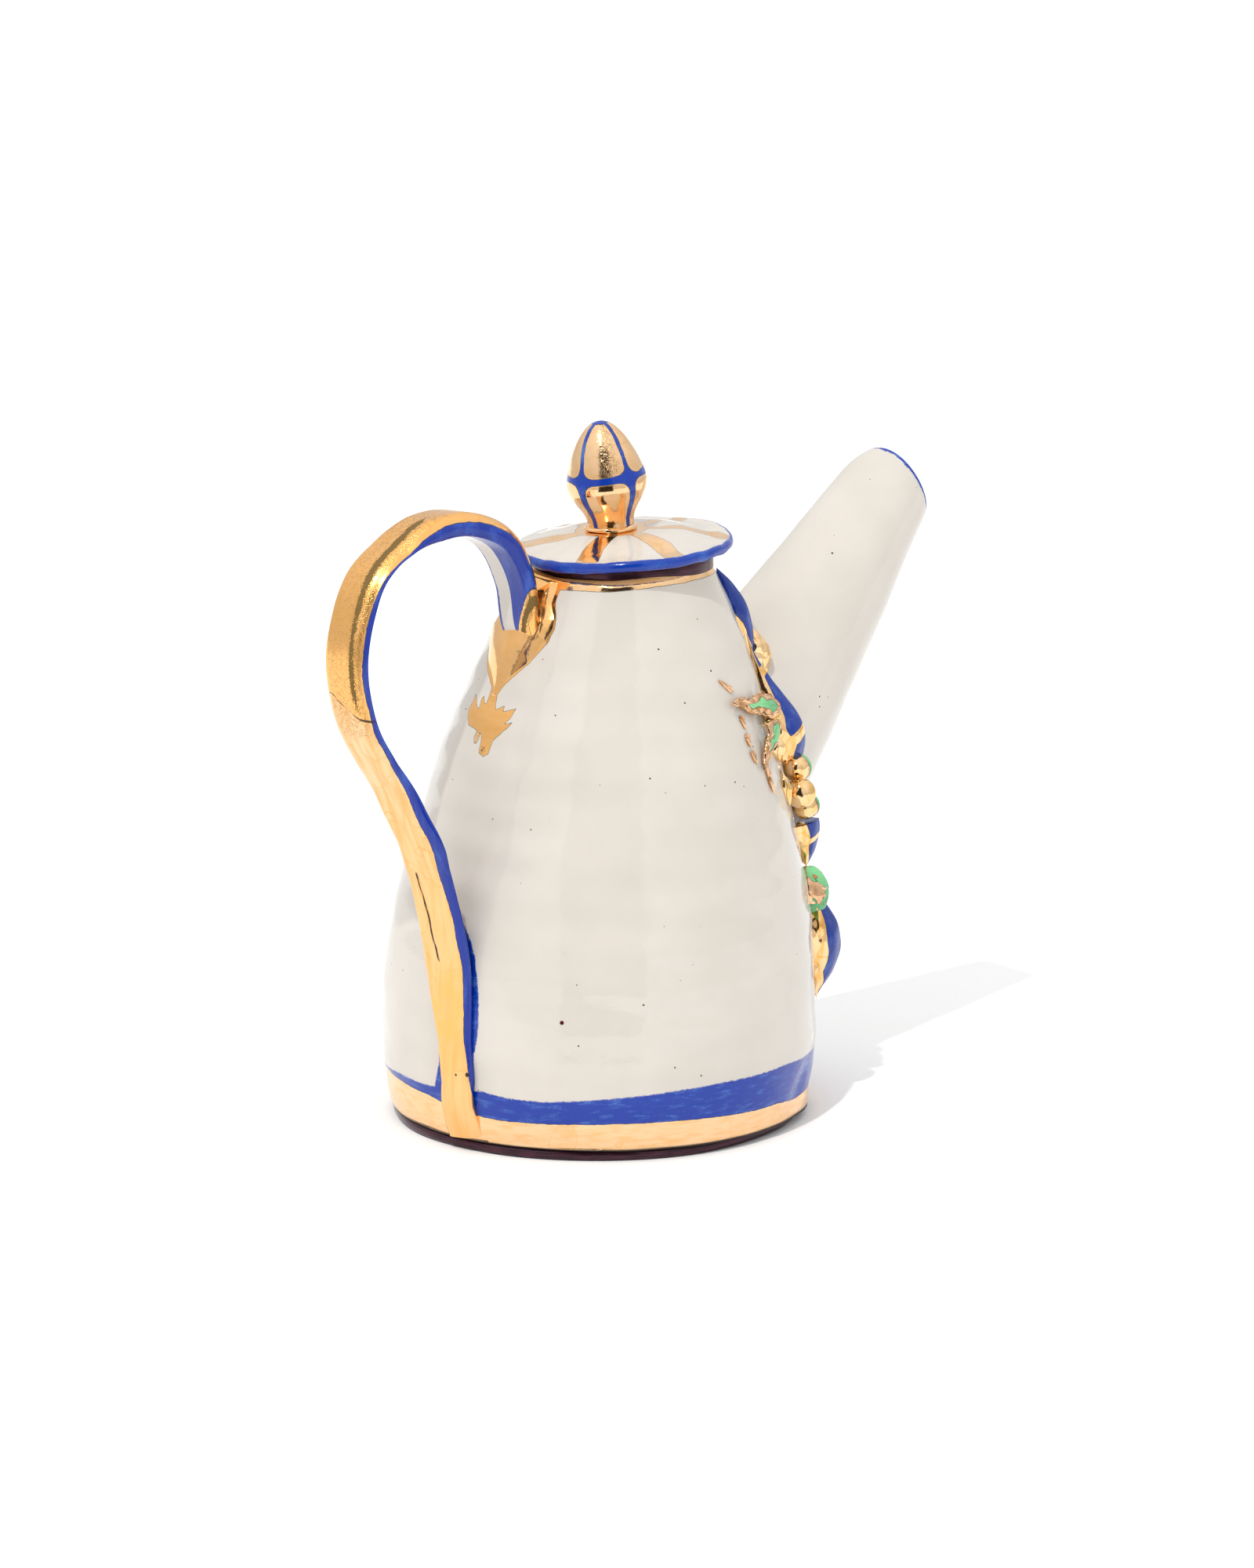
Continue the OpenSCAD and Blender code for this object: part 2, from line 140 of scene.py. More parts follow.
def new_material(name):
    """A new material, and the Object coordinates that its pattern starts from."""
    material = bpy.data.materials.new(name)
    material.use_nodes = True
    place = Socket(material.node_tree, None).node("TexCoord", out="Object")
    return material, place


def hold(material, socket, value):
    """Holds one input of the material at a constant."""
    material.node_tree.nodes["Principled BSDF"].inputs[socket].default_value = value


# The room: a bright ceiling that dims a little toward the horizon
CEILING, HORIZON = 1.1, 0.74
world = bpy.data.worlds.new("room")
bpy.context.scene.world = world
world.use_nodes = True
sky = Socket(world.node_tree, None).node("TexCoord", out="Generated")
height = sky.node("SeparateXYZ", {0: sky}, out=2)
glow = height.soft(0, 0.9).mix((HORIZON, HORIZON, HORIZON), (CEILING, CEILING, CEILING))
world.node_tree.links.new(glow.output, world.node_tree.nodes["Background"].inputs["Color"])

SHEET_WIDE = 6
bpy.ops.mesh.primitive_plane_add(size=SHEET_WIDE)
floor = bpy.context.object
floor.name = "table_sheet"
sheet, place = new_material("matt_white_sheet")
place.clouds(0.9, 3).soft(0.3, 0.8).mix((0.95, 0.95, 0.955), (0.98, 0.98, 0.98)).feed("Base Color")
place.node("Bump", {"Height": place.clouds(0.7), "Strength": 0.1, "Distance": 0.0004}).feed("Normal")
hold(sheet, "Roughness", 0.9)
hold(sheet, "Specular IOR Level", 0.1)
floor.data.materials.append(sheet)

# The flag stands up from the table in front of the pot; it shows only in mirrored light
FLAG_FAR, FLAG_WIDE, FLAG_TALL = 0.52, 0.4, 0.8
flag_way = Vector((back.x, back.y, 0)).normalized()
bpy.ops.mesh.primitive_plane_add(size=1, location=flag_way * FLAG_FAR + Vector((0, 0, FLAG_TALL / 2)))
flag = bpy.context.object
flag.name = "dark_flag"
flag.scale = (FLAG_WIDE, FLAG_TALL, 1)
flag.rotation_euler = (-flag_way).to_track_quat("Z", "Y").to_euler()
velvet, place = new_material("black_velvet")
place.clouds(40).mix((0.012, 0.01, 0.008), (0.03, 0.024, 0.018)).feed("Base Color")
hold(velvet, "Roughness", 1)
flag.data.materials.append(velvet)
flag.visible_camera = False
flag.visible_shadow = False
flag.visible_diffuse = False

# ---- the foot ----
# A rolled-out floor disc, with an edge left proud under the wall and painted with thin plum lustre; its dark
# colour is partly painted shade, standing in for the shade and dark reflection under the wall's edge.
# It stands on bare clay.
FOOT_R, FOOT_H, FLOOR_T, FLOOR_R, FOOT_WAVER = 68.2, 3.5, 7.0, 65.6, 0.011


def lumps(points, size, shift=0.0):
    """A smooth random height of about -1 to 1 at each point, with lumps of a size in mm."""
    points = np.asarray(points, float)
    away = Vector((shift, 2.7 * shift, 0.4 * shift))
    heights = [noise.noise(Vector(p) + away) for p in points.reshape(-1, 3) / size]
    return np.array(heights).reshape(points.shape[:-1])


def ring_mesh(name, rings, marks=None, loop=False):
    """A closed mesh of rings of points in mm, with its marks.

    In a loop the last ring joins the first; otherwise each end gets a middle point."""
    rings = np.asarray(rings, float)
    rows, columns = rings.shape[:2]
    points = rings.reshape(-1, 3)
    here, there = np.arange(columns), (np.arange(columns) + 1) % columns
    faces = []
    for row in range(rows if loop else rows - 1):
        a, b = row * columns, (row + 1) % rows * columns
        faces += np.stack([a + here, a + there, b + there, b + here], 1).tolist()
    if not loop:
        points = np.vstack([points, rings[0].mean(0), rings[-1].mean(0)])
        first, last = rows * columns, rows * columns + 1
        end = (rows - 1) * columns
        faces += [[int(first), int(t), int(h)] for h, t in zip(here, there)]
        faces += [[int(last), int(end + h), int(end + t)] for h, t in zip(here, there)]
    corners = points[[f[:3] for f in faces]]
    if np.einsum("ij,ij->i", corners[:, 0], np.cross(corners[:, 1], corners[:, 2])).sum() < 0:
        faces = [f[::-1] for f in faces]
    mesh = bpy.data.meshes.new(name)
    mesh.from_pydata((points * MM).tolist(), [], faces)
    for mark, values in {"gold": -9.0, "blue": -9.0, **(marks or {})}.items():
        values = np.broadcast_to(np.asarray(values, float), (rows, columns))
        ends = [] if loop else [values[0].mean(), values[-1].mean()]
        flat = np.concatenate([values.ravel(), ends])
        mesh.attributes.new(mark, "FLOAT", "POINT").data.foreach_set("value", flat)
    mesh.shade_smooth()
    piece = bpy.data.objects.new(name, mesh)
    bpy.context.collection.objects.link(piece)
    return piece


def fit(piece, material, slot, *nodes, body="pot"):
    """Gives a piece its material, hides the CAD nodes that it stands for and parents it to the body that it
    rides on. The slot name is not used.
    """
    piece.data.materials.clear()
    piece.data.materials.append(material)
    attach(piece, body)
    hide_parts(*nodes)


def plum_lustre(name):
    """Thin plum lustre brushed on unevenly, its dark colours partly painted shade."""
    material, place = new_material(name)
    streaks = place.stretch(1, 1, 9).clouds(7, 3)
    streaks.soft(0.35, 0.75).mix((0.032, 0.01, 0.017), (0.085, 0.026, 0.045)).feed("Base Color")
    (0.35 + 0.4 * streaks).feed("Metallic")
    (0.14 + 0.16 * place.clouds(4)).feed("Roughness")
    place.node("Bump", {"Height": streaks, "Strength": 0.3, "Distance": 0.0003}).feed("Normal")
    return material


turns = np.radians(np.arange(0, 360, 1.5))
profile = [(1, 0.5), (30, 0.4), (60, 0.2), (64, 0), (FOOT_R - 1.2, 0), (FOOT_R - 0.3, 0.5), (FOOT_R, 1.4),
           (FOOT_R - 0.1, 2.6), (FOOT_R - 0.8, FOOT_H), (FLOOR_R + 0.3, FOOT_H + 0.2),
           (FLOOR_R, FLOOR_T - 0.4), (FLOOR_R - 0.6, FLOOR_T), (30, FLOOR_T), (1, FLOOR_T)]
rings = np.array([[(r * np.cos(a), r * np.sin(a), h) for a in turns] for r, h in profile])
edge = 1 + FOOT_WAVER * lumps(rings * (1, 1, 0), 34)
rings[3:10] *= np.stack([edge, edge, np.ones_like(edge)], -1)[3:10]
fit(ring_mesh("foot", rings), plum_lustre("plum_lustre_foot"), "plum_lustre", "base_slab")

# ---- the wall ----
# One leaning cone, coiled and scraped by hand, glazed white with fine iron specks. Cobalt and gold bands run
# round the foot, gold lines the neck, and a run of lustre has splashed down below the handle.
FOOT_WALL_R, BELLY_R, BELLY_H, NECK_R, BODY_H, SWEEP, WALL_T = 69, 73.5, 30, 33, 186, 1.84, 5
LEAN = math.radians(3.4)


def wall_radius(up):
    low = BELLY_R - (BELLY_R - FOOT_WALL_R) * ((BELLY_H - up) / BELLY_H) ** 2
    rise = np.clip((up - BELLY_H) / (BODY_H - BELLY_H), 0, None)
    return np.where(up < BELLY_H, low, BELLY_R - (BELLY_R - NECK_R) * rise ** SWEEP)


def wall_slope(up):
    return np.arctan((wall_radius(up - 1) - wall_radius(up + 1)) / 2)


def lean_over(x, y, up):
    return np.stack([x * np.cos(LEAN) + up * np.sin(LEAN), y + 0 * up,
                     up * np.cos(LEAN) - x * np.sin(LEAN)], -1)


def wall_point(angle, up, out=0.0):
    """The point on the wall at a polar angle in radians and a height up the leaning axis, moved outward."""
    slope = wall_slope(up)
    r = wall_radius(up) + out * np.cos(slope)
    return lean_over(r * np.cos(angle), r * np.sin(angle), up + out * np.sin(slope))


def wall_depth(points):
    """How far each point lies under the outside of the wall, in mm."""
    x = points[..., 0] * np.cos(LEAN) - points[..., 2] * np.sin(LEAN)
    up = points[..., 0] * np.sin(LEAN) + points[..., 2] * np.cos(LEAN)
    away = np.hypot(x, points[..., 1])
    return (wall_radius(up) - away) * np.cos(wall_slope(up)), np.arctan2(points[..., 1], x), up


def settle(points, depth):
    """Clay pressed on the wall goes no deeper than this into it."""
    points = np.array(points, float)
    under, angle, up = wall_depth(points)
    deep = under > depth
    points[deep] = wall_point(angle[deep], up[deep], -depth)
    return points


def off_segment(x, y, start, end):
    """Distance in mm from points to a straight piece, and the share of it where each is nearest."""
    (ax, ay), (bx, by) = start[:2], end[:2]
    share = ((x - ax) * (bx - ax) + (y - ay) * (by - ay)) / ((bx - ax) ** 2 + (by - ay) ** 2)
    share = np.clip(share, 0, 1)
    return np.hypot(x - ax - share * (bx - ax), y - ay - share * (by - ay)), share


def inside(x, y, outline):
    """Distance in mm from points into a closed outline, negative outside it."""
    best, within = np.full(np.shape(x), np.inf), np.zeros(np.shape(x), bool)
    for start, end in zip(outline, outline[1:] + outline[:1]):
        best = np.minimum(best, off_segment(x, y, start, end)[0])
        (ax, ay), (bx, by) = start, end
        within ^= ((ay > y) != (by > y)) & (x < ax + (bx - ax) * (y - ay) / (by - ay + 1e-9))
    return np.where(within, best, -best)


def degrees_from(angle, middle):
    return np.degrees(angle) % 360 - middle


RIDGE_PITCH, CREASE_AT, BULGE_AT, SPREAD_AT = 13.5, 302, 145, 318


def hand_wobble(angle, up):
    """The wall's unevenness in mm: soft coil ridges, broad thumb dents and a dent low on the spout's side."""
    base = wall_point(angle, up)
    ridge = np.sin(2 * np.pi * (up + 3 * lumps(base, 45, 9)) / RIDGE_PITCH)
    ridge = ridge * (0.13 + 0.12 * lumps(base, 60, 4))
    dents = 0.75 * lumps(base, 34, 2) + 0.3 * lumps(base, 15, 7)
    side = np.radians(degrees_from(angle, CREASE_AT))
    crease = -1.1 * np.exp(-(side / 0.10) ** 2 - ((up - 17 - 40 * side) / 6) ** 2)
    bulge = 1.4 * np.exp(-(degrees_from(angle, BULGE_AT) / 35) ** 2 - ((up - 60) / 24) ** 2)
    spread = 1.6 * np.exp(-(degrees_from(angle, SPREAD_AT) / 26) ** 2) * np.clip((14 - up) / 9, 0, 1)
    return ridge + dents + crease + bulge + spread - 0.35


# Painted bands: polar angle, and the height over the table of the top of the gold and of the blue
BANDS = [(-210, 17.7, 18.6), (-198, 17.1, 19.8), (-183, 16.4, 20), (-176, 14.8, 20.4), (-162, 12.8, 22.2),
         (-156, 12.6, 21.2), (-145, 12.9, 20.9), (-134, 13.2, 21.9), (-124, 13.5, 22.8), (-108, 13.4, 24.3),
         (-96, 12.9, 25), (-83, 12.2, 25.1), (-72, 12, 25.3), (-60, 9.8, 24.2), (-35, 11.5, 22.6),
         (-5, 13.2, 24.2), (25, 12.4, 22.8), (60, 14.1, 21.6), (95, 13.3, 23.4), (125, 15.4, 21.2)]
# Height of the neck's lip around the pot, and the height of the gold line on it
LIP = [(-172, 187.2), (-135, 188.4), (-105, 190.4), (-79, 191.4), (-45, 191.6), (0, 190.6), (70, 189.2),
       (130, 188)]
LIP_GOLD = 4.0
# The lustre run: angle from the handle's side in degrees, and height
RUN = [(14, 189), (13.4, 179), (16.6, 174.3), (17.2, 171), (15.8, 166.6), (12.6, 163.2), (8.5, 159.2),
       (5.1, 156.3), (1.8, 153.2), (-1.7, 150.2), (-3.8, 147.3), (-2.7, 144), (-1.3, 142.4), (2.6, 144.3),
       (2.8, 142.3), (8.9, 144.2), (8.1, 141.2), (5.7, 138.6), (9.2, 139.6), (7.7, 137.6), (4.9, 135.1),
       (2.3, 132.6), (2.2, 128.4), (0.3, 127.1), (-2.6, 127.9), (-3.6, 131.6), (-4.9, 134), (-9.5, 134.8),
       (-14.6, 135.2), (-16.8, 137), (-18.7, 139.6), (-18.3, 142), (-19.1, 144.8), (-16.1, 143.5),
       (-13.6, 141.5), (-11.3, 141.1), (-12.8, 144.3), (-12, 145.5), (-9.5, 143.2), (-8.3, 143.2),
       (-8.5, 147.1), (-9, 149.1), (-13.4, 151.8), (-21.1, 155.4), (-27.8, 159.5), (-35.2, 163.8),
       (-36.7, 168), (-34, 176), (-26, 189)]
# Cobalt wiped off the strap onto the wall beside it
WIPE = [(6, 74), (9, 71), (11, 67.5), (12.6, 63.5), (14.2, 57), (15.6, 49), (16.1, 41), (15.8, 34), (15, 29),
        (14.6, 12), (6, 12)]
FAR_WIPE = [(7, 49), (3.4, 47), (3.0, 38), (2.6, 26), (0.6, 16), (0, 12), (7, 12)]
# The lone drop beside the run and the scorched dot in its tip: distance round from the handle's side, height
# and radius
DROP_ALONG, DROP_H, DROP_R = -6.498, 132.3, 1.4
SCORCH_ALONG, SCORCH_H, SCORCH_R = -1.361, 129.1, 1.7


def around_handle(angle, up):
    """Distance around the wall from the handle's side, in mm."""
    return np.radians(degrees_from(angle, 180)) * wall_radius(up)


def flat_outline(outline):
    return [(math.radians(degrees) * float(wall_radius(up)), up) for degrees, up in outline]


def knots(angle, table, column):
    """A value around the pot, from a table of angles."""
    table = np.array(table)
    return np.interp(np.degrees(angle), table[:, 0], table[:, column], period=360)


WHITE_GLAZE = ((0.615, 0.573, 0.512), (0.65, 0.605, 0.545))
COBALT = ((0.045, 0.13, 0.46), (0.0, 0.032, 0.33))
GOLD = ((0.95, 0.63, 0.36), (0.88, 0.53, 0.24))
AMBER = ((0.97, 0.54, 0.2), (0.93, 0.47, 0.13))
LUSTRE_EDGE, IRON = (0.04, 0.045, 0.045), (0.1, 0.04, 0.02)
SCORCH_AND_DARK_REFLECTION, CRACK_AND_SHADE = (0.2, 0.12, 0.03), (0.03, 0.018, 0.01)
SPECK_PITCH = 4.5


def painted_glaze(name, brush=(1, 1, 5), ground=WHITE_GLAZE, gold=GOLD, dry=0.8, cobalt=COBALT, spots=()):
    """Glaze with iron specks, cobalt where the mark "blue" is over 0 mm, and lustre where "gold" is.

    The mark "amber" deepens the lustre from 0 to 1. The mark for pitting and dark reflection speckles it from
    0 to 1
    and at 2 turns it dark brown: a scorch, and along the strap's streak a painted dark reflection. The mark
    for cracks and shade is a dark line where it is over 0: a crack, and along the foot of the wall painted
    shade."""
    material, place = new_material(name)
    strokes, grain, fine = place.stretch(*brush).clouds(7, 4), place.clouds(1.5, 3), place.clouds(0.4, 2)
    colour = place.clouds(28, 3, 5).soft(0.35, 0.7).mix(*ground)
    cells = place.node("TexVoronoi", {"Vector": place, "Scale": 1 / (SPECK_PITCH * MM)})
    chance = cells.also("Color")
    chance = chance.node("SeparateColor", {0: chance})
    colour = (chance * 0.2 - cells - 0.115).soft(-0.012, 0.006).mix(colour, IRON)
    for spot, radius, stain in spots:
        away = place.node("VectorMath", {0: place, 1: spot * MM}, out="Value", operation="DISTANCE")
        colour = away.soft(0.8 * radius * MM, 1.2 * radius * MM).mix(stain, colour)

    blue_in = place.mark("blue") + (grain - 0.5) * dry + (fine - 0.5) * dry
    blue = blue_in.soft(-0.05, 0.1)
    wash = (strokes + (fine - 0.5) * 0.4).soft(0.25, 0.5)
    cobalt = wash.mix(*cobalt)
    colour = (blue * (1 - 0.5 * (1 - blue_in.soft(0, 0.5)))).mix(colour, cobalt)

    gold_in = place.mark("gold") + (place.clouds(2.4, 3, 3) - 0.5) * 0.6
    lustre = gold_in.soft(-0.03, 0.03)
    tide = (place.clouds(17, 2, 7) - 0.5).math("ABSOLUTE").soft(0, 0.012)
    plain = (strokes + 0.2 * (1 - tide)).soft(0.35, 0.75).mix(*gold)
    tone = place.mark("amber").mix(plain, strokes.mix(*AMBER))
    # Pitting speckles the lustre brown; where the mark reaches 2 it is dark brown all over: a scorch, and on
    # the strap a painted dark reflection
    heavy = place.mark("pits_and_dark_reflection").soft(1, 2)
    pits_and_dark_reflection = place.mark("pits_and_dark_reflection") * (fine + 0.35 * grain + 0.25 * heavy).soft(0.66, 0.8)
    tone = pits_and_dark_reflection.mix(tone, SCORCH_AND_DARK_REFLECTION)
    colour = lustre.mix(colour, tone)
    line = gold_in.soft(-0.2, -0.08) * (1 - gold_in.soft(0.0, 0.1))
    # Dark lines where the crack mark is over 0: real cracks, and painted shade along the foot of the wall
    crack_and_shade = place.mark("crack_and_shade").soft(0.05, 0.2)
    colour = (line * 0.85).mix(colour, LUSTRE_EDGE)
    colour = crack_and_shade.mix(colour, CRACK_AND_SHADE)
    colour.feed("Base Color")
    metal = lustre * (1 - 0.8 * line) * (1 - crack_and_shade) * (1 - 0.3 * pits_and_dark_reflection)
    metal.feed("Metallic")
    (0.06 + 0.04 * grain + 0.1 * blue + lustre * 0.05 * strokes + 0.25 * pits_and_dark_reflection + 0.5 * crack_and_shade).feed("Roughness")
    height = place.clouds(7, 2) + 0.25 * grain + lustre * 0.5 * strokes - 0.6 * pits_and_dark_reflection - 2 * crack_and_shade + 0.3 * blue
    place.node("Bump", {"Height": height, "Strength": 0.35, "Distance": 0.00035}).feed("Normal")
    return material


# Columns are close together beside the handle, where the painted lines are fine
FINE_STEP, PLAIN_STEP = 0.45, 1.3
columns = np.radians(np.concatenate([np.arange(-158, 138, PLAIN_STEP), np.arange(138, 202, FINE_STEP)]))
lip = knots(columns, LIP, 1)
shares = np.concatenate([np.arange(0, 0.125, 0.008), np.arange(0.125, 0.66, 0.0085),
                         np.arange(0.66, 0.985, 0.0028)])
foot_up = (FOOT_H + wall_radius(0.0) * np.cos(columns) * np.sin(LEAN)) / np.cos(LEAN)
up = foot_up + shares[:, None] * (lip - foot_up)
angle = np.broadcast_to(columns, up.shape)
outside = wall_point(angle, up, hand_wobble(angle, up))

# The rounded edges at the lip and the foot join the outside to the inside
lip_steps = np.radians(np.arange(15, 180, 15))[:, None]
lip_r = WALL_T / 2 - 0.6
lip_up = lip - lip_r * 0.9 + lip_r * np.sin(lip_steps)
lip_angle = np.broadcast_to(columns, lip_up.shape)
lip_ring = wall_point(lip_angle, lip_up, lip_r * (np.cos(lip_steps) - 1) - 0.2)
inner_shares = np.linspace(0.97, 0.0, 30)[:, None]
inner_up = foot_up + 1 + inner_shares * (lip - foot_up - 1)
inner_angle = np.broadcast_to(columns, inner_up.shape)
inner = wall_point(inner_angle, inner_up, -WALL_T * np.clip((1 - inner_shares) * 14 + 0.85, 0, 1)
                   + 0.5 * lumps(wall_point(inner_angle, inner_up), 30, 5))
under_up = np.stack([foot_up - 0.3, foot_up - 0.4, foot_up + 0.1])
under_angle = np.broadcast_to(columns, under_up.shape)
under = wall_point(under_angle, under_up, np.array([-4.0, -1.8, -0.5])[:, None])

rings = np.concatenate([outside, lip_ring, inner, under])
all_angle = np.concatenate([angle, lip_angle, inner_angle, under_angle])
all_up = np.concatenate([up, lip_up, inner_up, under_up])
inward = np.concatenate([0 * up, 3 * (1 - np.cos(lip_steps)) + 0 * lip_up, 0 * inner_up + 30, 0 * under_up])
along, table_h = around_handle(all_angle, all_up), rings[..., 2]
run_in, wipe_in, far_wipe_in = (inside(along, all_up, flat_outline(o)) for o in (RUN, WIPE, FAR_WIPE))
drop = DROP_R - np.hypot(along - DROP_ALONG, (all_up - DROP_H) * 0.72)
gold = np.maximum.reduce([knots(all_angle, BANDS, 1) - table_h, all_up - knots(all_angle, LIP, 1) + LIP_GOLD,
                          run_in, drop])
blue = np.maximum.reduce([knots(all_angle, BANDS, 2) - table_h, wipe_in, far_wipe_in])
pit = SCORCH_R - np.hypot(along - SCORCH_ALONG, all_up - SCORCH_H)
# Painted shade: a dark line round the bottom of the wall where it meets the foot, drawn with the crack colour
foot_shade_line = 0.35 * (FOOT_H + 1 - table_h) - inward
marks = {"gold": gold - inward, "blue": blue - inward, "amber": np.clip(run_in + 1, 0, 1) * 0.9,
         "pits_and_dark_reflection": np.clip(pit, 0, 1), "crack_and_shade": np.maximum(0.3 * (pit - 0.9), foot_shade_line)}
wall = ring_mesh("wall", rings, marks, loop=True)
wall_glaze = painted_glaze("wall_glaze", spots=[
    (wall_point(math.radians(-140.4), 45.0), 0.8, (0.06, 0.008, 0.006)),
    (wall_point(math.radians(-139.2), 172.6), 0.3, COBALT[1]),
    (wall_point(math.radians(-137), 58.0), 0.28, (0.16, 0.03, 0.02))])

# The strainer: one hole, a ring of six and a ring of twelve, drilled square to the wall behind the spout
HOLE_D, HOLE_PITCH, STRAINER_H, STRAINER_RISE = 4.0, 7.5, 112.7, math.radians(18)
tree = bpy.data.node_groups.new("strainer_drills", "GeometryNodeTree")
for size in ("Hole radius", "Pitch", "Length"):
    tree.interface.new_socket(size, in_out="INPUT", socket_type="NodeSocketFloat")
tree.interface.new_socket("Geometry", in_out="OUTPUT", socket_type="NodeSocketGeometry")


def geometry_node(tree, kind, values=None, **settings):
    """Adds one geometry node, with its settings, and the values or links of its sockets."""
    new = tree.nodes.new(kind)
    for name, setting in settings.items():
        setattr(new, name, setting)
    for key, value in (values or {}).items():
        if isinstance(value, bpy.types.NodeSocket):
            tree.links.new(value, new.inputs[key])
        else:
            new.inputs[key].default_value = value
    return new


def run_tree(tree, name, values, start=None):
    """Runs a tree on a mesh, or on an empty one, and gives the result as a plain mesh object."""
    holder = bpy.data.objects.new(name, start or bpy.data.meshes.new(name))
    bpy.context.collection.objects.link(holder)
    modifier = holder.modifiers.new(name, "NODES")
    modifier.node_group = tree
    for item in tree.interface.items_tree:
        if item.item_type == "SOCKET" and item.name in values:
            modifier[item.identifier] = values[item.name]
    result = holder.evaluated_get(bpy.context.evaluated_depsgraph_get())
    mesh = bpy.data.meshes.new_from_object(result)
    holder.modifiers.clear()
    holder.data = mesh
    return holder


sizes = tree.nodes.new("NodeGroupInput")
drill = geometry_node(tree, "GeometryNodeMeshCylinder",
                      {"Vertices": 20, "Radius": sizes.outputs["Hole radius"],
                       "Depth": sizes.outputs["Length"]})
joined = tree.nodes.new("GeometryNodeJoinGeometry")
for count, step in ((1, 0), (6, 1), (12, 2)):
    if step == 0:
        points = geometry_node(tree, "GeometryNodeMeshLine", {"Count": 1})
    else:
        reach = geometry_node(tree, "ShaderNodeMath", {0: sizes.outputs["Pitch"], 1: float(step)},
                              operation="MULTIPLY")
        points = geometry_node(tree, "GeometryNodeMeshCircle",
                               {"Vertices": count, "Radius": reach.outputs[0]})
    placed = geometry_node(tree, "GeometryNodeInstanceOnPoints",
                           {"Points": points.outputs[0], "Instance": drill.outputs[0]})
    tree.links.new(placed.outputs[0], joined.inputs[0])
merged = geometry_node(tree, "GeometryNodeRealizeInstances", {0: joined.outputs[0]})
glazed = geometry_node(tree, "GeometryNodeSetMaterial",
                       {"Geometry": merged.outputs[0], "Material": wall_glaze})
tree.links.new(glazed.outputs[0], tree.nodes.new("NodeGroupOutput").inputs[0])
drills = run_tree(tree, "strainer_drills", {"Hole radius": HOLE_D / 2 * MM, "Pitch": HOLE_PITCH * MM,
                                            "Length": 6 * WALL_T * MM})
drills.data.transform(Matrix.Translation((float(wall_radius(STRAINER_H)) * MM, 0, STRAINER_H * MM))
                      @ Matrix.Rotation(math.pi / 2 - STRAINER_RISE, 4, "Y"))
drilling = wall.modifiers.new("strainer", "BOOLEAN")
drilling.object, drilling.operation, drilling.solver = drills, "DIFFERENCE", "MANIFOLD"
drilled = bpy.data.meshes.new_from_object(wall.evaluated_get(bpy.context.evaluated_depsgraph_get()))
wall.modifiers.clear()
wall.data = drilled
bpy.data.objects.remove(drills)
fit(wall, wall_glaze, "white_glaze", "body_wall")

# ---- the neck ring ----
# A low roll of clay inside the lip that carries the lid, painted with the same plum lustre as the foot; its
# dark colour is partly painted shade, standing in for the shade under the lid.
RING_R, RING_IN, RING_H, RING_SUNK = 30, 26, 6.1, 0.6


def turned(*turns):
    """The product of turns, each an axis letter and degrees, as a 3 by 3 array."""
    result = np.eye(3)
    for axis, degrees in turns:
        result = result @ np.array(Matrix.Rotation(math.radians(degrees), 3, axis))
    return result


MOUTH_AT, MOUTH_TURN = np.array([11.95, -1.5, 186]), turned(("Y", -1.4), ("X", -0.9))


def at_mouth(points):
    return np.asarray(points, float) @ MOUTH_TURN.T + MOUTH_AT


def lathe(profile, angles):
    """Rings of points around Z for an outline of radius and height."""
    r, h = np.array(profile, float).T
    spin = np.asarray(angles)
    return np.stack([r[:, None] * np.cos(spin), r[:, None] * np.sin(spin), h[:, None] + 0 * spin], -1)


def squared(wave):
    """A sine or cosine drawn out toward the corners of a square."""
    return np.sign(wave) * abs(wave) ** 0.6


steps = np.radians(np.arange(-90, 270, 20))
ring_middle, ring_half = (RING_R + RING_IN) / 2, (RING_R - RING_IN) / 2 - 0.1
outline = [(ring_middle + ring_half * squared(np.cos(a)),
            RING_H / 2 - RING_SUNK + (RING_H / 2 + RING_SUNK) * squared(np.sin(a))) for a in steps]
rings = at_mouth(lathe(outline, turns))
rings[:, :, 2] += 0.3 * lumps(rings, 12) - 0.2
ring = ring_mesh("neck_ring_clay", rings, loop=True)
fit(ring, plum_lustre("plum_lustre_ring"), "plum_lustre", "neck_ring")

# ---- the spout ----
# A rolled cone, cut on the slant at its mouth and luted over the strainer with its joint smoothed by thumb.
# It is glazed white, with a thin cobalt line on the lip.
MOUTH_MIDDLE, SPOUT_TILT, SPOUT_R, SPOUT_TAPER, SPOUT_T = np.array([134.05, 0, 200.0]), 41.6, 15.1, 0.144, 4
MOUTH_SLANT, JOINT_FLARE, JOINT_SPREAD, JOINT_DEPTH = math.tan(math.radians(20.4)), 3.4, 10.0, 2.2
SPOUT_LIP = 1.7
# The lip is worn round on its upper far side
WORN_AT, WORN_WIDE, WORN_LONG, WORN_DEPTH = math.radians(139), 0.75, 13.0, 2.2


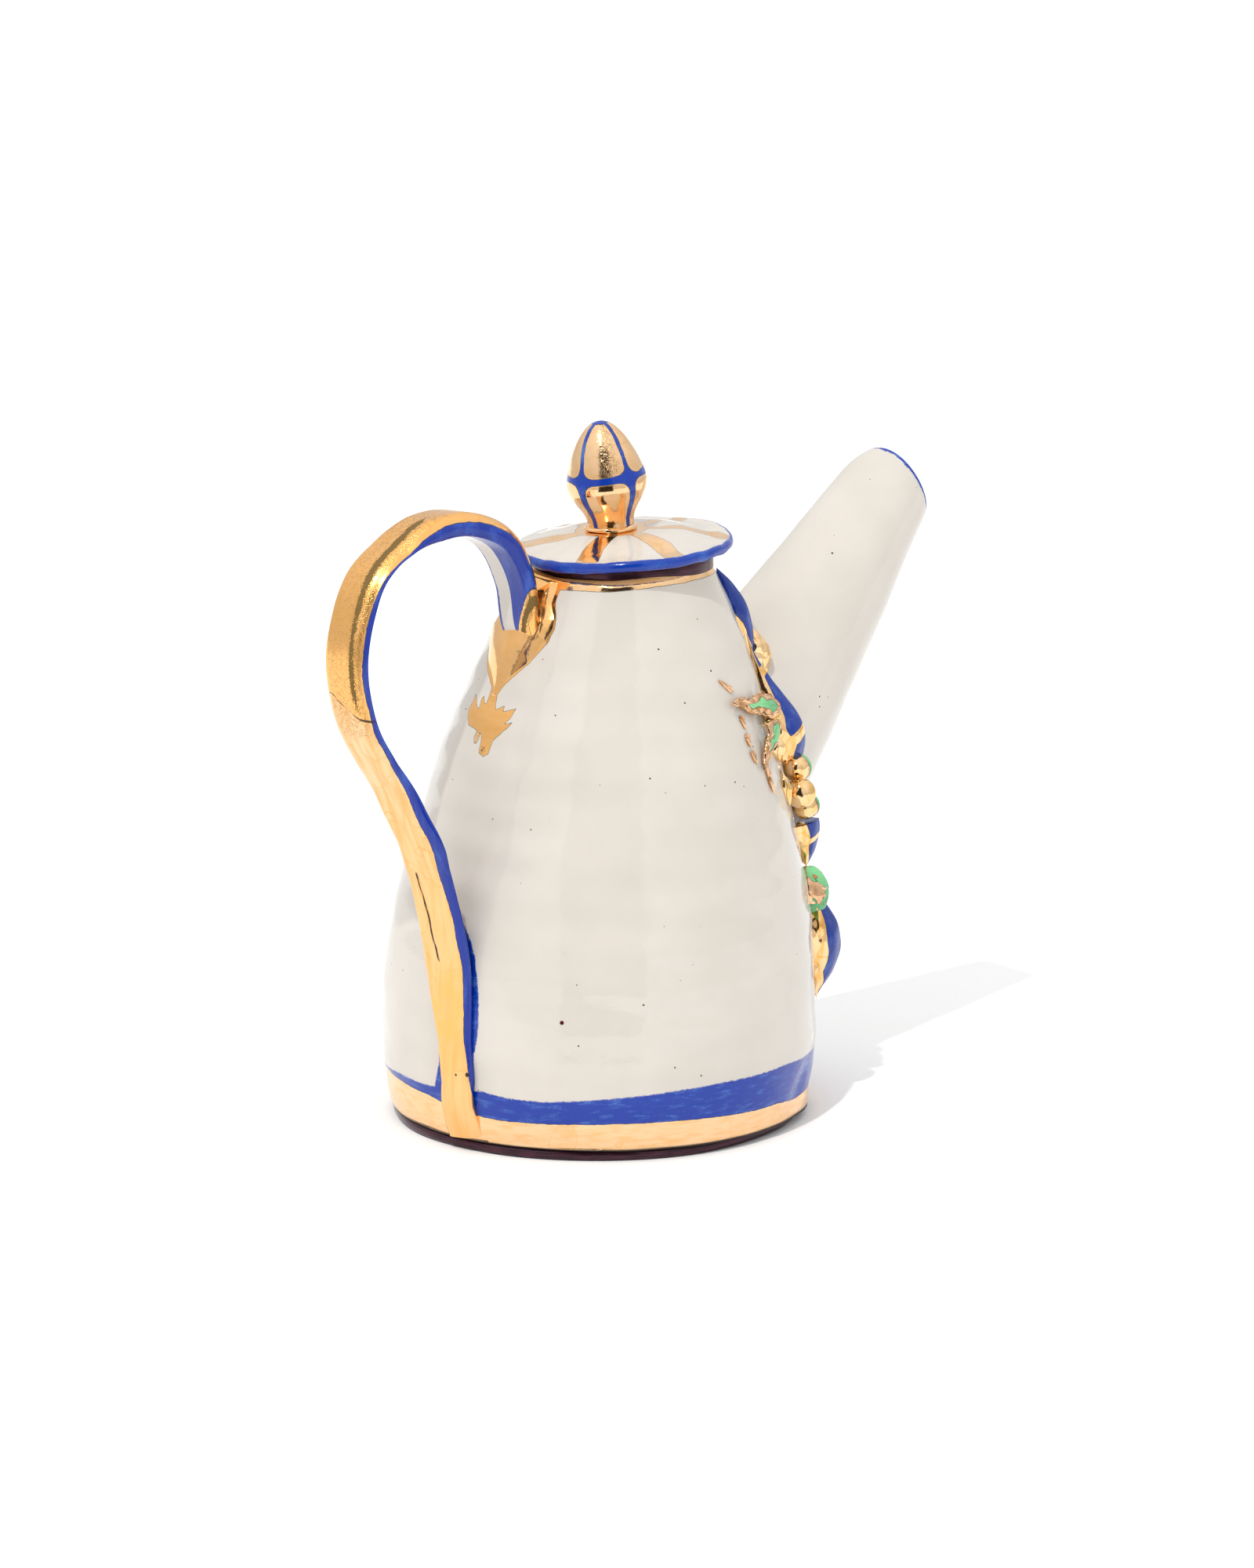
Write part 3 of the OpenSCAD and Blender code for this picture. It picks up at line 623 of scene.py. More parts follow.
def spout_point(angle, down, inward):
    """A point on the spout, by angle around it and distance down from the mouth, flared toward the wall."""
    fading = np.clip(1 - down / WORN_LONG, 0, 1) ** 2
    worn = WORN_DEPTH * np.exp(-((angle - WORN_AT) / WORN_WIDE) ** 2) * fading
    r = SPOUT_R + SPOUT_TAPER * down - inward - worn
    for flare in (False, True):
        local = np.stack([r * np.cos(angle), r * np.sin(angle),
                          -r * np.cos(angle) * MOUTH_SLANT - down - worn], -1)
        points = local @ turned(("Y", SPOUT_TILT)).T + MOUTH_MIDDLE
        if not flare and inward < 1:
            near = np.clip(1 + wall_depth(points)[0] / JOINT_SPREAD, 0, 1.1)
            r = r + JOINT_FLARE * near ** 2
    return points


def spout_root(angle, inward):
    """How far down each line of the spout runs before it is in the wall."""
    low, high = np.full(angle.shape, 30.0), np.full(angle.shape, 150.0)
    for _ in range(24):
        middle = (low + high) / 2
        deep = wall_depth(spout_point(angle, middle, inward))[0] > JOINT_DEPTH
        low, high = np.where(deep, low, middle), np.where(deep, middle, high)
    return low


spin = np.radians(np.arange(0, 360, 2.0))
OUTER_ROWS = 90
rows = []
root = spout_root(spin, 0.0)
for share in 1 - np.linspace(0, 1, OUTER_ROWS) ** 1.15:
    rows.append(spout_point(spin, SPOUT_LIP + share * (root - SPOUT_LIP), 0.0))
for turn in np.radians(np.arange(20, 180, 20)):
    down = SPOUT_LIP * (1 - np.sin(turn)) + 0 * spin
    rows.append(spout_point(spin, down, SPOUT_T / 2 * (1 - np.cos(turn))))
inner_root = spout_root(spin, SPOUT_T)
for share in np.linspace(0, 1, 24):
    rows.append(spout_point(spin, SPOUT_LIP + share * (inner_root - SPOUT_LIP), SPOUT_T))
rings = np.array(rows)
soft_hand = 0.5 * lumps(rings, 30, 3) + 0.2 * lumps(rings, 11, 6)
axis_point = rings.mean(1, keepdims=True)
away = rings - axis_point
away /= np.linalg.norm(away, axis=-1, keepdims=True)
rings = rings + away * soft_hand[..., None] * (np.arange(len(rings)) > 4)[:, None, None]
# Cobalt on the lip: rows are counted from the last row on the outside
past_lip = np.arange(len(rings))[:, None] - (OUTER_ROWS - 1)
blue = np.where(past_lip <= 0, 0.3 + past_lip * 1.2, np.clip(3.5 - (past_lip - 3) * 0.6, -3, 3.5))
blue = blue + 0.5 * lumps(rings, 7, 8)
spout = ring_mesh("spout_cone", rings, {"blue": blue}, loop=True)
fit(spout, painted_glaze("spout_glaze"), "white_glaze", "spout")

# ---- the strap handle ----
# One flat pulled strap, from the neck over a high crest and down the wall to the foot. It is gold outside and
# on its near edge, cobalt along the inner edge, and bare white glaze in the middle of the inside.
STRAP_W, STRAP_END_W, STRAP_T, STRAP_ROLL, STRAP_SHIFT = 19.5, 15.5, 4.0, 4.8, 10.5
HALF_W, STRAP_CORNER, SECTION_POINTS, STRAP_STOPS = STRAP_W / 2, 1.9, 52, 560
NECK_X, CREST_H = -21.95, 210.8


def wall_x(up):
    return up * math.tan(LEAN) - float(wall_radius(up))


BACK_X = wall_x(165.5) - 72
STRAP_LINE = [(NECK_X - 4, 161.5), (NECK_X - 9, 172.5), (NECK_X - 10, 187), (NECK_X - 15, 200.4),
              (NECK_X - 24, 207.6), (NECK_X - 38, CREST_H), (NECK_X - 56, 207.7), (BACK_X + 10.8, 197.8),
              (BACK_X + 2, 180.5), (BACK_X, 165.5), (BACK_X + 3, 148.5), (BACK_X + 9.5, 136.5),
              (BACK_X + 17, 124.5), (wall_x(113) - 29, 113), (wall_x(100) - 20, 100), (wall_x(88) - 12.5, 88),
              (wall_x(66) - 3.8, 66), (wall_x(44) - 0.7, 44), (wall_x(22) - 0.2, 22), (wall_x(12) + 0.8, 12),
              (wall_x(5) + 2, 5)]


def smooth_line(points, steps):
    """A smooth curve through the points, as a chain of cubic pieces."""
    p = np.array([points[0], *points, points[-1]], float)
    t = np.linspace(0, 1, steps, endpoint=False)[:, None]
    pieces = [0.5 * (2 * b + (c - a) * t + (2 * a - 5 * b + 4 * c - d) * t ** 2
                     + (3 * b - 3 * c + d - a) * t ** 3) for a, b, c, d in zip(p, p[1:], p[2:], p[3:])]
    return np.vstack([*pieces, p[-1:]])


line = smooth_line(STRAP_LINE, 24)
run = np.concatenate([[0], np.cumsum(np.linalg.norm(np.diff(line, axis=0), axis=1))])
stops = np.linspace(0, run[-1], STRAP_STOPS)
line = np.stack([np.interp(stops, run, line[:, 0]), np.interp(stops, run, line[:, 1])], 1)
ahead = np.gradient(line, axis=0)
ahead /= np.linalg.norm(ahead, axis=1, keepdims=True)

# The tree sweeps the strap's rounded section along the line, and marks where each point lies in the section
tree = bpy.data.node_groups.new("pulled_strap", "GeometryNodeTree")
tree.interface.new_socket("Geometry", in_out="INPUT", socket_type="NodeSocketGeometry")
for size in ("Width", "Thickness", "Corner"):
    tree.interface.new_socket(size, in_out="INPUT", socket_type="NodeSocketFloat")
tree.interface.new_socket("Geometry", in_out="OUTPUT", socket_type="NodeSocketGeometry")
sizes = tree.nodes.new("NodeGroupInput")
section = geometry_node(tree, "GeometryNodeCurvePrimitiveQuadrilateral",
                        {"Width": sizes.outputs["Width"], "Height": sizes.outputs["Thickness"]})
section = geometry_node(tree, "GeometryNodeFilletCurve",
                        {"Curve": section.outputs[0], "Radius": sizes.outputs["Corner"], "Limit Radius": True,
                         "Count": 6}, mode="POLY")
section = geometry_node(tree, "GeometryNodeResampleCurve",
                        {"Curve": section.outputs[0], "Count": SECTION_POINTS})
position = geometry_node(tree, "GeometryNodeInputPosition")
spot = geometry_node(tree, "ShaderNodeSeparateXYZ", {0: position.outputs[0]})
for mark, axis in (("across", 0), ("thick", 1)):
    section = geometry_node(tree, "GeometryNodeStoreNamedAttribute",
                            {"Geometry": section.outputs[0], "Name": mark, "Value": spot.outputs[axis]})
reach = geometry_node(tree, "GeometryNodeSplineParameter")
section = geometry_node(tree, "GeometryNodeStoreNamedAttribute",
                        {"Geometry": section.outputs[0], "Name": "around", "Value": reach.outputs["Length"]})
path = geometry_node(tree, "GeometryNodeMeshToCurve", {0: sizes.outputs["Geometry"]})
path = geometry_node(tree, "GeometryNodeStoreNamedAttribute",
                     {"Geometry": path.outputs[0], "Name": "along", "Value": reach.outputs["Factor"]})
swept = geometry_node(tree, "GeometryNodeCurveToMesh",
                      {"Curve": path.outputs[0], "Profile Curve": section.outputs[0], "Fill Caps": True})
merged = geometry_node(tree, "GeometryNodeRealizeInstances", {0: swept.outputs[0]})
strap_glaze = painted_glaze("strap_glaze", brush=(1, 3, 0.35), gold=((0.93, 0.6, 0.33), (0.8, 0.42, 0.15)),
                            cobalt=((0.022, 0.08, 0.42), (0.0, 0.022, 0.28)))
glazed = geometry_node(tree, "GeometryNodeSetMaterial",
                       {"Geometry": merged.outputs[0], "Material": strap_glaze})
tree.links.new(glazed.outputs[0], tree.nodes.new("NodeGroupOutput").inputs[0])
guide = bpy.data.meshes.new("strap_guide")
guide.from_pydata([(x * MM, 0, h * MM) for x, h in line], [(i, i + 1) for i in range(len(line) - 1)], [])
strap = run_tree(tree, "strap", {"Width": STRAP_W * MM, "Thickness": STRAP_T * MM,
                                 "Corner": STRAP_CORNER * MM}, guide)


def read_mark(mesh, mark):
    values = np.zeros(len(mesh.vertices))
    mesh.attributes[mark].data.foreach_get("value", values)
    return values


def write_marks(mesh, marks):
    for mark, values in marks.items():
        layer = mesh.attributes.get(mark) or mesh.attributes.new(mark, "FLOAT", "POINT")
        layer.data.foreach_set("value", np.broadcast_to(values, len(mesh.vertices)).astype(float))


SECTION_MARKS = ("across", "thick", "around", "along")
across, thick, around, along = (read_mark(strap.data, mark) for mark in SECTION_MARKS)
across, thick, around, along = across / MM, thick / MM, around / MM, along * stops[-1]
for mark in SECTION_MARKS:
    strap.data.attributes.remove(strap.data.attributes[mark])

# Distance around the section from the middle of the outer face, over 0 toward the near edge
whole = around.max() * (SECTION_POINTS + 1) / SECTION_POINTS
top = around[np.argmin(np.abs(across) + np.abs(thick - STRAP_T / 2))]
around = (around - top + whole / 2) % whole - whole / 2
around = around * np.sign((around * -across)[np.abs(around) < 6].sum())

# How the hand-pulled strap differs from an even one, as tables of a place and a value in mm. Along is the
# distance from the neck, near and far are from the middle to that edge, and up is the height. The crown falls
# to the edges past the crest, the shoulder fills the outer face before it and the underside is fuller there.
# The near edge is pulled out, the far edge pinched in, and the whole strap sways a little at one height.
CROWN_ALONG = [(0, 0), (72, 0), (90, 1), (150, 1), (185, 0.4), (270, 0.2)]
CROWN_NEAR = [(3.2, 0), (4.8, 0.4), (5.6, 0.9), (7.5, 2.6), (7.8, 2.95), (8.2, 3.4)]
CROWN_FAR = [(6, 0), (8, 0.1), (HALF_W, 0.4)]
SHOULDER_ALONG = [(0, 0), (8, 1), (26, 2.1), (76, 2.1), (92, 0)]
SHOULDER_NEAR = [(-HALF_W, 0.5), (-7, 1), (6, 1), (9.3, 0)]
UNDER_ALONG = [(10, 0), (40, 1.7), (75, 1.7), (95, 0)]
PULL_ALONG = [(8, 0), (20, 1.8), (45, 1.8), (65, 0)]
PULL_UP = [(15, 0), (24, 1.5), (39, 1.5), (60, 2.8), (92, 2.9), (104, 3.6), (118, 1.9), (134, 0)]
PINCH_UP = [(5, 2.5), (15, 3.4), (24, 5.5), (39, 4.8), (63, 0)]
SWAY, SWAY_H, SWAY_SPREAD = 2.2, 107, 10
PRESS_UP, PRESS_IN, STRAP_BURY = [(48, 1), (88, 0)], 0.8, 3.2


def table(where, rows):
    """The value at each place, from a table of places and values."""
    places, values = zip(*rows)
    return np.interp(where, places, values)


middle, ahead_here = (np.stack([np.interp(along, stops, way[:, i]) for i in (0, 1)], 1)
                      for way in (line, ahead))
near, up = -across, middle[:, 1]
narrow = STRAP_W - STRAP_END_W
upper = narrow * np.clip(1 - (NECK_X - middle[:, 0]) / 42, 0, 1) * (along < 60)
lower = narrow * np.clip(1 - up / 112, 0, 1)
y = (across + HALF_W) * (1 - (upper + lower) / STRAP_W) - HALF_W
share = (thick + STRAP_T / 2) / STRAP_T
crown = table(along, CROWN_ALONG) * table(near, CROWN_NEAR) + table(across, CROWN_FAR)
crown = crown - table(along, SHOULDER_ALONG) * table(near, SHOULDER_NEAR)
rough = np.stack([along, y, 8 * share], 1)
out = thick - share * crown - (1 - share) * table(along, UNDER_ALONG)
out += share * (0.35 * lumps(rough, 26, 3) + 0.12 * lumps(rough, 7, 6)) - 0.15
y = y + 0.45 * lumps(rough, 30, 8) + 0.15 * lumps(rough, 9, 2)
y = y - (table(along, PULL_ALONG) + table(up, PULL_UP)) * np.clip(near / HALF_W, 0, 1)
y = y - table(up, PINCH_UP) * np.clip(across / STRAP_W + 0.5, 0, 1)
y = y - SWAY * np.exp(-((up - SWAY_H) / SWAY_SPREAD) ** 2)
x, h = middle[:, 0] + ahead_here[:, 1] * out, up - ahead_here[:, 0] * out
roll = math.radians(STRAP_ROLL)
points = np.stack([x, y * math.cos(roll) + h * math.sin(roll) - STRAP_SHIFT,
                   h * math.cos(roll) - y * math.sin(roll)], 1)
# Low down the strap is pressed round the wall
wall_r = wall_radius(points[:, 2])
bend = wall_r - np.sqrt(wall_r ** 2 - np.clip(points[:, 1], -30, 30) ** 2)
points[:, 0] += (bend - PRESS_IN) * table(points[:, 2], PRESS_UP)
points = settle(points, STRAP_BURY)
strap.data.vertices.foreach_set("co", (points * MM).ravel())
corners = points[np.array([list(f.vertices)[:3] for f in strap.data.polygons])]
if np.einsum("ij,ij->i", corners[:, 0], np.cross(corners[:, 1], corners[:, 2])).sum() < 0:
    strap.data.flip_normals()
strap.data.shade_smooth()

# The paint, in tables of the same kind: how far gold runs toward each edge and over the foot, how far cobalt
# runs inside, the pitted lustre with a dark streak that is a painted reflection, and the deeper tone of the
# upper and lower parts
GOLD_FAR, INNER_EDGE, FOOT_GOLD, TIDE_ALONG = 10.2, 12.5, 13.5, 149.5
GOLD_NEAR_ALONG = [(0, 5), (14, 7.4), (30, 9.2), (78, 9.2), (94, 8.3), (112, 7.8), (150, 7.8), (185, 7.9),
                   (400, 8)]
GOLD_NEAR_UP = [(8, 5), (15, 4.5), (24, 1.5), (39, 0), (80, -0.3), (98, -1.5), (114, -1.2), (130, 0)]
COBALT_ALONG = [(0, 15), (25, 15), (45, 12), (68, 7), (95, 4.5), (400, 5)]
PITS_ALONG = [(60, 0), (75, 0.6), (110, 0.3), (158, 0.5), (161, 0)]
# The dark streak down the outer face is a painted reflection, drawn in the dark scorched lustre tone
REFLECTION_STREAK_ALONG = [(72, 0), (80, 1), (146, 1), (153, 0)]
REFLECTION_STREAK_AT = [(80, -2.4), (100, -3.6), (125, -4.5), (155, -5)]
REFLECTION_STREAK_HALF = [(80, 2.1), (100, 1.7), (125, 1), (155, 0.7)]
AMBER_ALONG, AMBER_LOW = [(0, 0.5), (40, 0.3), (75, 1)], [(175, 0.1), (230, 0.55)]
MOTTLE, MOTTLE_H, MOTTLE_SPREAD = 0.7, 45, 14
# The long split in the clay, by height, and the pits as height, distance across and radius
SPLIT_UP, SPLIT_H, SPLIT_HALF = [(61, -0.3), (75, 1.9), (99, 3)], 80, 15
STRAP_PITS = [(27.3, -3, 0.8), (27.8, -8.6, 1)]
high = points[:, 2]
gold_near = table(along, GOLD_NEAR_ALONG) + table(up, GOLD_NEAR_UP)
wobble = 0.35 * lumps(np.stack([along, 0 * along, 0 * along], 1), 12, 4)
gold = np.where(around > 0, gold_near + wobble - around, GOLD_FAR + wobble + around)
clay_end = 22.6 + 2 * wobble - 1.75 * (y + 10) - along
gold = np.maximum.reduce([gold, FOOT_GOLD + wobble - high, 0.5 * clay_end])
blue = INNER_EDGE + 2 * wobble - np.abs(around) + np.where(around > 0, table(along, COBALT_ALONG), 2.2)
pits_and_dark_reflection = table(along, PITS_ALONG) * (np.abs(across) < 7)
reflection_streak = np.exp(-((across - table(along, REFLECTION_STREAK_AT)) / table(along, REFLECTION_STREAK_HALF)) ** 2)
reflection_streak = reflection_streak * table(along, REFLECTION_STREAK_ALONG) * (1 + 0.3 * lumps(rough, 3, 2))
root_patch = np.exp(-((clay_end - 4.5) / 2.6) ** 2) * (along < 40)
# Over 2 the mark turns the lustre dark brown: along the streak this is a painted dark reflection
pits_and_dark_reflection = np.maximum.reduce([pits_and_dark_reflection, 2.4 * reflection_streak, 2.6 * root_patch])
tide = along + 2.5 * lumps(rough, 6, 7) + 5 * np.sin(y / 5) - TIDE_ALONG
amber = table(along, AMBER_ALONG) * (1 - np.clip(tide, -1, 1)) / 2
amber = np.maximum(amber, np.clip(clay_end, 0, 1) * (along < 40)) + table(along, AMBER_LOW)
mottle = MOTTLE * np.exp(-((high + 0.6 * y - MOTTLE_H) / MOTTLE_SPREAD) ** 2)
amber = amber + mottle * (0.6 + lumps(rough, 5, 2))
split = 0.36 - 0.5 * np.abs(table(high, SPLIT_UP) - across + 0.8 * lumps(rough, 9, 4))
split = split - 0.06 * lumps(rough, 2, 9) - 0.2 * np.clip(np.abs(high - SPLIT_H) - SPLIT_HALF, 0, 9)
outer_cracks = [split] + [0.6 * (r - np.hypot(high - pit_h, across - at)) for pit_h, at, r in STRAP_PITS]
crack_and_shade = np.where(share > 0.5, np.maximum.reduce(outer_cracks), -9)
crack_and_shade = np.maximum.reduce([crack_and_shade, np.where(share > 0.4, 0.26 - 0.5 * np.abs(tide), -9),
                           np.where(along < 32, 0.2 - 0.25 * np.abs(clay_end), -9)])
write_marks(strap.data, {"gold": gold, "blue": np.maximum(blue, gold), "pits_and_dark_reflection": pits_and_dark_reflection, "crack_and_shade": crack_and_shade,
                         "amber": amber})
fit(strap, strap_glaze, "gold_lustre", "handle_strap")

# ---- the pad at the handle's upper end ----
# Clay thumbed over the joint of strap and wall. The run of gold covers it, with a crease along its near side.
PAD_SWELL, PAD_BURY, PAD_EDGE, PAD_GRID = 2.2, 2.0, 13.0, (90, 120)
CREASE = [(6.5, 183), (6, 178), (11, 171), (10.4, 167.7), (5, 163.3), (1.9, 161.3)]
CREASE_SWELL, CREASE_WIDE = 0.2, 3.2


def line_distance(x, y, points):
    """Distance in mm to a chain of points."""
    return np.minimum.reduce([off_segment(x, y, start, end)[0] for start, end in zip(points, points[1:])])


ups = np.linspace(146.5, 185.5, PAD_GRID[0])[:, None]
degrees = np.linspace(-37, 18.5, PAD_GRID[1])
pad_up = np.broadcast_to(ups, PAD_GRID)
pad_angle = np.radians(180 + np.broadcast_to(degrees, PAD_GRID))
along = around_handle(pad_angle, pad_up)
rim = inside(along, pad_up, flat_outline(RUN))
crease = line_distance(along, pad_up, flat_outline(CREASE))
rise = np.clip(rim / PAD_EDGE, 0, 1)
ridge = CREASE_SWELL * np.exp(-(crease / CREASE_WIDE) ** 2)
out = -0.9 + (0.9 + PAD_SWELL) * (1 - (1 - rise) ** 2) + ridge * np.clip(rim, 0, 1)
out = np.where(rim > 0, out + 0.3 * lumps(wall_point(pad_angle, pad_up), 9, 3), -1.2)
top = wall_point(pad_angle, pad_up, out - 0.2)
below = wall_point(pad_angle[:, ::-1], pad_up[:, ::-1], -PAD_BURY - 1 + 0 * out)
rings = np.concatenate([top, below], 1)
crack_and_shade = np.concatenate([0.22 - np.abs(crease - 0.2) - 0.12 * lumps(top, 1.6, 5), -9 + 0 * out], 1)
pad = ring_mesh("handle_pad_clay", rings, {"gold": 5.0, "crack_and_shade": crack_and_shade, "amber": 0.7})
fit(pad, painted_glaze("pad_glaze", brush=(1, 1, 1)), "gold_lustre", "handle_pad")

# ---- the lid ----
# A thrown-flat disc with a soft dome and a wavy rim, on a flange that drops inside the ring. Broad strokes of
# gold run from the knob to the rim, which is brushed with cobalt.
LID_R, LID_T, LID_RISE, LID_SEAT, LID_FLAT_R = 37, 3.8, 4, 6.4, 13
RIM_R, DROOP, DROOP_TOWARD = LID_T / 2, 1.3, math.radians(-39.9)
RAYS = [[(12, -152, 5.5), (24, -155, 6.7), (38, -151, 8)],
        [(17, -102, 6.2), (23, -98, 7.6), (30, -99.5, 6.8), (38, -102, 7)],
        [(13, -48, 3), (20, -34, 4.5), (30, -35, 5.5), (38, -53, 3)],
        [(12, 0, 4), (24, 12, 5), (38, 17, 6)],
        [(12, 116, 5), (24, 98, 5), (38, 88, 6)],
        [(12, 52, 4), (24, 56, 5), (38, 57, 5)],
        [(12, 170, 4), (22, 155, 6), (38, 138, 9)]]
RIM_BLUE, RAY_START, HUB_GOLD_R, HUB_AT = 0.9, (4.3, 152, 3.5), 12.2, (-3.8, 2)


def stroke(x, y, points):
    """Distance into a brush stroke whose points hold a place and a width."""
    into = []
    for start, end in zip(points, points[1:]):
        away, share = off_segment(x, y, start, end)
        into.append((start[2] + share * (end[2] - start[2])) / 2 - away)
    return np.maximum.reduce(into)


def polar(r, degrees):
    return r * math.cos(math.radians(degrees)), r * math.sin(math.radians(degrees))


def dome(r):
    share = np.clip((LID_R - RIM_R - r) / (LID_R - RIM_R - LID_FLAT_R), 0, 1)
    return LID_SEAT + LID_T + LID_RISE * (1 - np.cos(np.pi * share)) / 2


spin = np.radians(np.arange(0, 360, 1.0))
under = [(r, LID_SEAT) for r in np.arange(2, LID_R - RIM_R, 3)]
edge = [(LID_R - RIM_R + RIM_R * math.sin(a), LID_SEAT + RIM_R - RIM_R * math.cos(a))
        for a in np.radians(range(0, 181, 15))]
top_r = np.arange(LID_R - 2.3, 1, -0.6)
rings = lathe(under + edge + list(zip(top_r, dome(top_r))), spin)
row = np.arange(len(rings))[:, None]
is_under, is_top = row < len(under), row >= len(under) + 6
r = np.hypot(rings[..., 0], rings[..., 1])
turn_only = rings / np.maximum(r, 1)[..., None] * 30 * (1, 1, 0)
outer = np.clip((r - 14) / 22, 0, 1)
stretch = 1 + outer * (0.022 * lumps(turn_only, 20, 3) - 0.008)
rings[..., :2] *= stretch[..., None]
rings[..., 2] += outer * (0.9 * lumps(turn_only, 17, 6) + 0.25 * lumps(turn_only, 6, 2))
toward = (rings[..., 0] * math.cos(DROOP_TOWARD) + rings[..., 1] * math.sin(DROOP_TOWARD)) / LID_R
rings[..., 2] += DROOP * toward * np.clip((r - 29) / 8, 0, 1)
rings[..., 2] += 0.35 * lumps(rings, 13, 4) * np.clip((40 - r) / 20, 0, 1) * (rings[..., 2] > LID_SEAT + 2)
fade = np.linspace(1, 0.3, len(rings))[:, None]
rings[..., 2] += 0.45 * lumps(turn_only, 4.5, 9) * np.clip((r - 33) / 3, 0, 1) * fade
strokes = [[(*polar(at_r, degrees), width) for at_r, degrees, width in [RAY_START, *ray]] for ray in RAYS]
hub = np.hypot(rings[..., 0] - HUB_AT[0], rings[..., 1] - HUB_AT[1])
gold = np.maximum.reduce([stroke(rings[..., 0], rings[..., 1], ray) for ray in strokes]
                         + [HUB_GOLD_R + 0.6 * lumps(rings, 6, 5) - hub])
from_rim = np.where(is_top, LID_R - r - 0.7, np.where(is_under, LID_R - 1 - r, 0))
blue = RIM_BLUE + 0.5 * lumps(turn_only, 5, 7) - from_rim
marks = {"gold": np.where(is_top, np.minimum(gold, -blue - 0.2), -9), "blue": blue}
lid = ring_mesh("lid_disc", at_mouth(rings), marks)
lid_glaze = painted_glaze("lid_glaze", brush=(1, 1, 1), dry=0.5,
                          cobalt=((0.01, 0.085, 0.44), (0.0, 0.034, 0.32)))
fit(lid, lid_glaze, "white_glaze", "lid_plate", body="lid")

# The flange: a collar of the same clay, thinner and rounded below
FLANGE_R, FLANGE_IN, FLANGE_H = 24.9, 22.2, 9
outline = [(FLANGE_R, LID_SEAT + 0.4), (FLANGE_R - 0.1, 0), (FLANGE_R - 0.2, LID_SEAT - FLANGE_H + 0.9),
           (FLANGE_R - 0.8, LID_SEAT - FLANGE_H + 0.2), (FLANGE_R - 1.5, LID_SEAT - FLANGE_H + 0.1),
           (FLANGE_IN + 0.5, LID_SEAT - FLANGE_H + 0.3), (FLANGE_IN + 0.1, LID_SEAT - FLANGE_H + 1.1),
           (FLANGE_IN, 0), (FLANGE_IN, LID_SEAT + 0.4)]
rings = lathe(outline, turns)
rings[..., :2] *= (1 + 0.006 * lumps(rings, 15, 4))[..., None]
fit(ring_mesh("lid_flange_clay", at_mouth(rings), loop=True), painted_glaze("flange_glaze"), "white_glaze",
    "lid_flange", body="lid")

# ---- the collar and the knob ----
# A bud of clay on a soft roll, leaning a little back to the handle. Cobalt lines part it into gold panels,
# and the gold is rubbed thin on the panel that the thumb meets.
KNOB_AT, KNOB_TURN = np.array([-3.8, 2, 14.2]), turned(("Y", -5), ("X", -1.3))
COLLAR_R, COLLAR_H, KNOB_R, KNOB_H, KNOB_STEM_R, KNOB_BELLY_H = 9, 2, 13.7, 35.5, 7.8, 14.5
KNOB_LINES, LINE_WIDE, BELT_WIDE, BELT_H, CROSSING = (-172, -87, -24, 48, 120), 1.5, 2.1, 17.6, 4.2
COLLAR_WAVER, THUMB_AT, THUMB_SPREAD = 0.09, -118, 16


def knob_radius(h):
    stem = KNOB_STEM_R + (KNOB_R - KNOB_STEM_R) * (1 + np.cos(np.pi * (1 - h / KNOB_BELLY_H))) / 2
    tip = np.clip(1 - np.clip((h - KNOB_BELLY_H) / (KNOB_H - KNOB_BELLY_H), 0, 1) ** 1.25, 0, 1)
    return np.where(h < KNOB_BELLY_H, stem, KNOB_R * np.sqrt(tip))


def melt(a, b, reach):
    """The larger of two distances, with the corner between them filled."""
    share = np.clip(0.5 + 0.5 * (a - b) / reach, 0, 1)
    return b + (a - b) * share + reach * share * (1 - share)


outline = [(1, 0.1), (COLLAR_R - 1, 0), (COLLAR_R, 0.5), (COLLAR_R - 0.1, 1.2),
           (COLLAR_R - 0.7, COLLAR_H - 0.3), (COLLAR_R - 1.6, COLLAR_H), (1, COLLAR_H)]
rings = lathe(outline, turns)
rings[1:-1, :, :2] *= (1 + COLLAR_WAVER * lumps(rings, 5, 4))[1:-1, :, None]
rings[3:-1, :, 2] += 0.55 * lumps(rings[3:-1], 4, 8)
fit(ring_mesh("knob_roll", at_mouth(rings + KNOB_AT), {"gold": 5.0}), painted_glaze("collar_glaze", dry=0.4),
    "gold_lustre", "knob_collar", body="lid")

heights = np.concatenate([[-0.6], KNOB_H * np.sin(np.radians(np.linspace(0, 89.2, 100)))])
outline = list(zip(knob_radius(np.clip(heights, 0, None)), heights))
rings = lathe(outline, np.radians(np.arange(0, 360, 2.0)))
rings[..., :2] *= (1 + 0.02 * lumps(rings, 12, 5) + 0.008 * lumps(rings, 5, 2))[..., None]
r, h = np.hypot(rings[..., 0], rings[..., 1]), rings[..., 2]
lines = np.full(h.shape, -9.0)
for line_no, start in enumerate(KNOB_LINES):
    bend = np.radians(start + 5 * np.sin(h / 8 + 2.1 * line_no))
    apart = (np.arctan2(rings[..., 1], rings[..., 0]) - bend + np.pi) % (2 * np.pi) - np.pi
    wide = LINE_WIDE + np.interp(h, [0, 6, 12, BELT_H, 20], [0.1, 0.7, 1.1, 0.9, 0])
    lines = np.maximum(lines, wide / 2 - np.abs(apart) * np.maximum(r, 0.6))
belt = BELT_WIDE / 2 + 0.4 * lumps(rings, 9, 9) - np.abs(h - BELT_H - 0.2 * lumps(rings, 16, 3))
lines = np.maximum(melt(lines, belt, CROSSING), h - KNOB_H + 0.7)
panel = np.degrees(np.arctan2(rings[..., 1], rings[..., 0]))
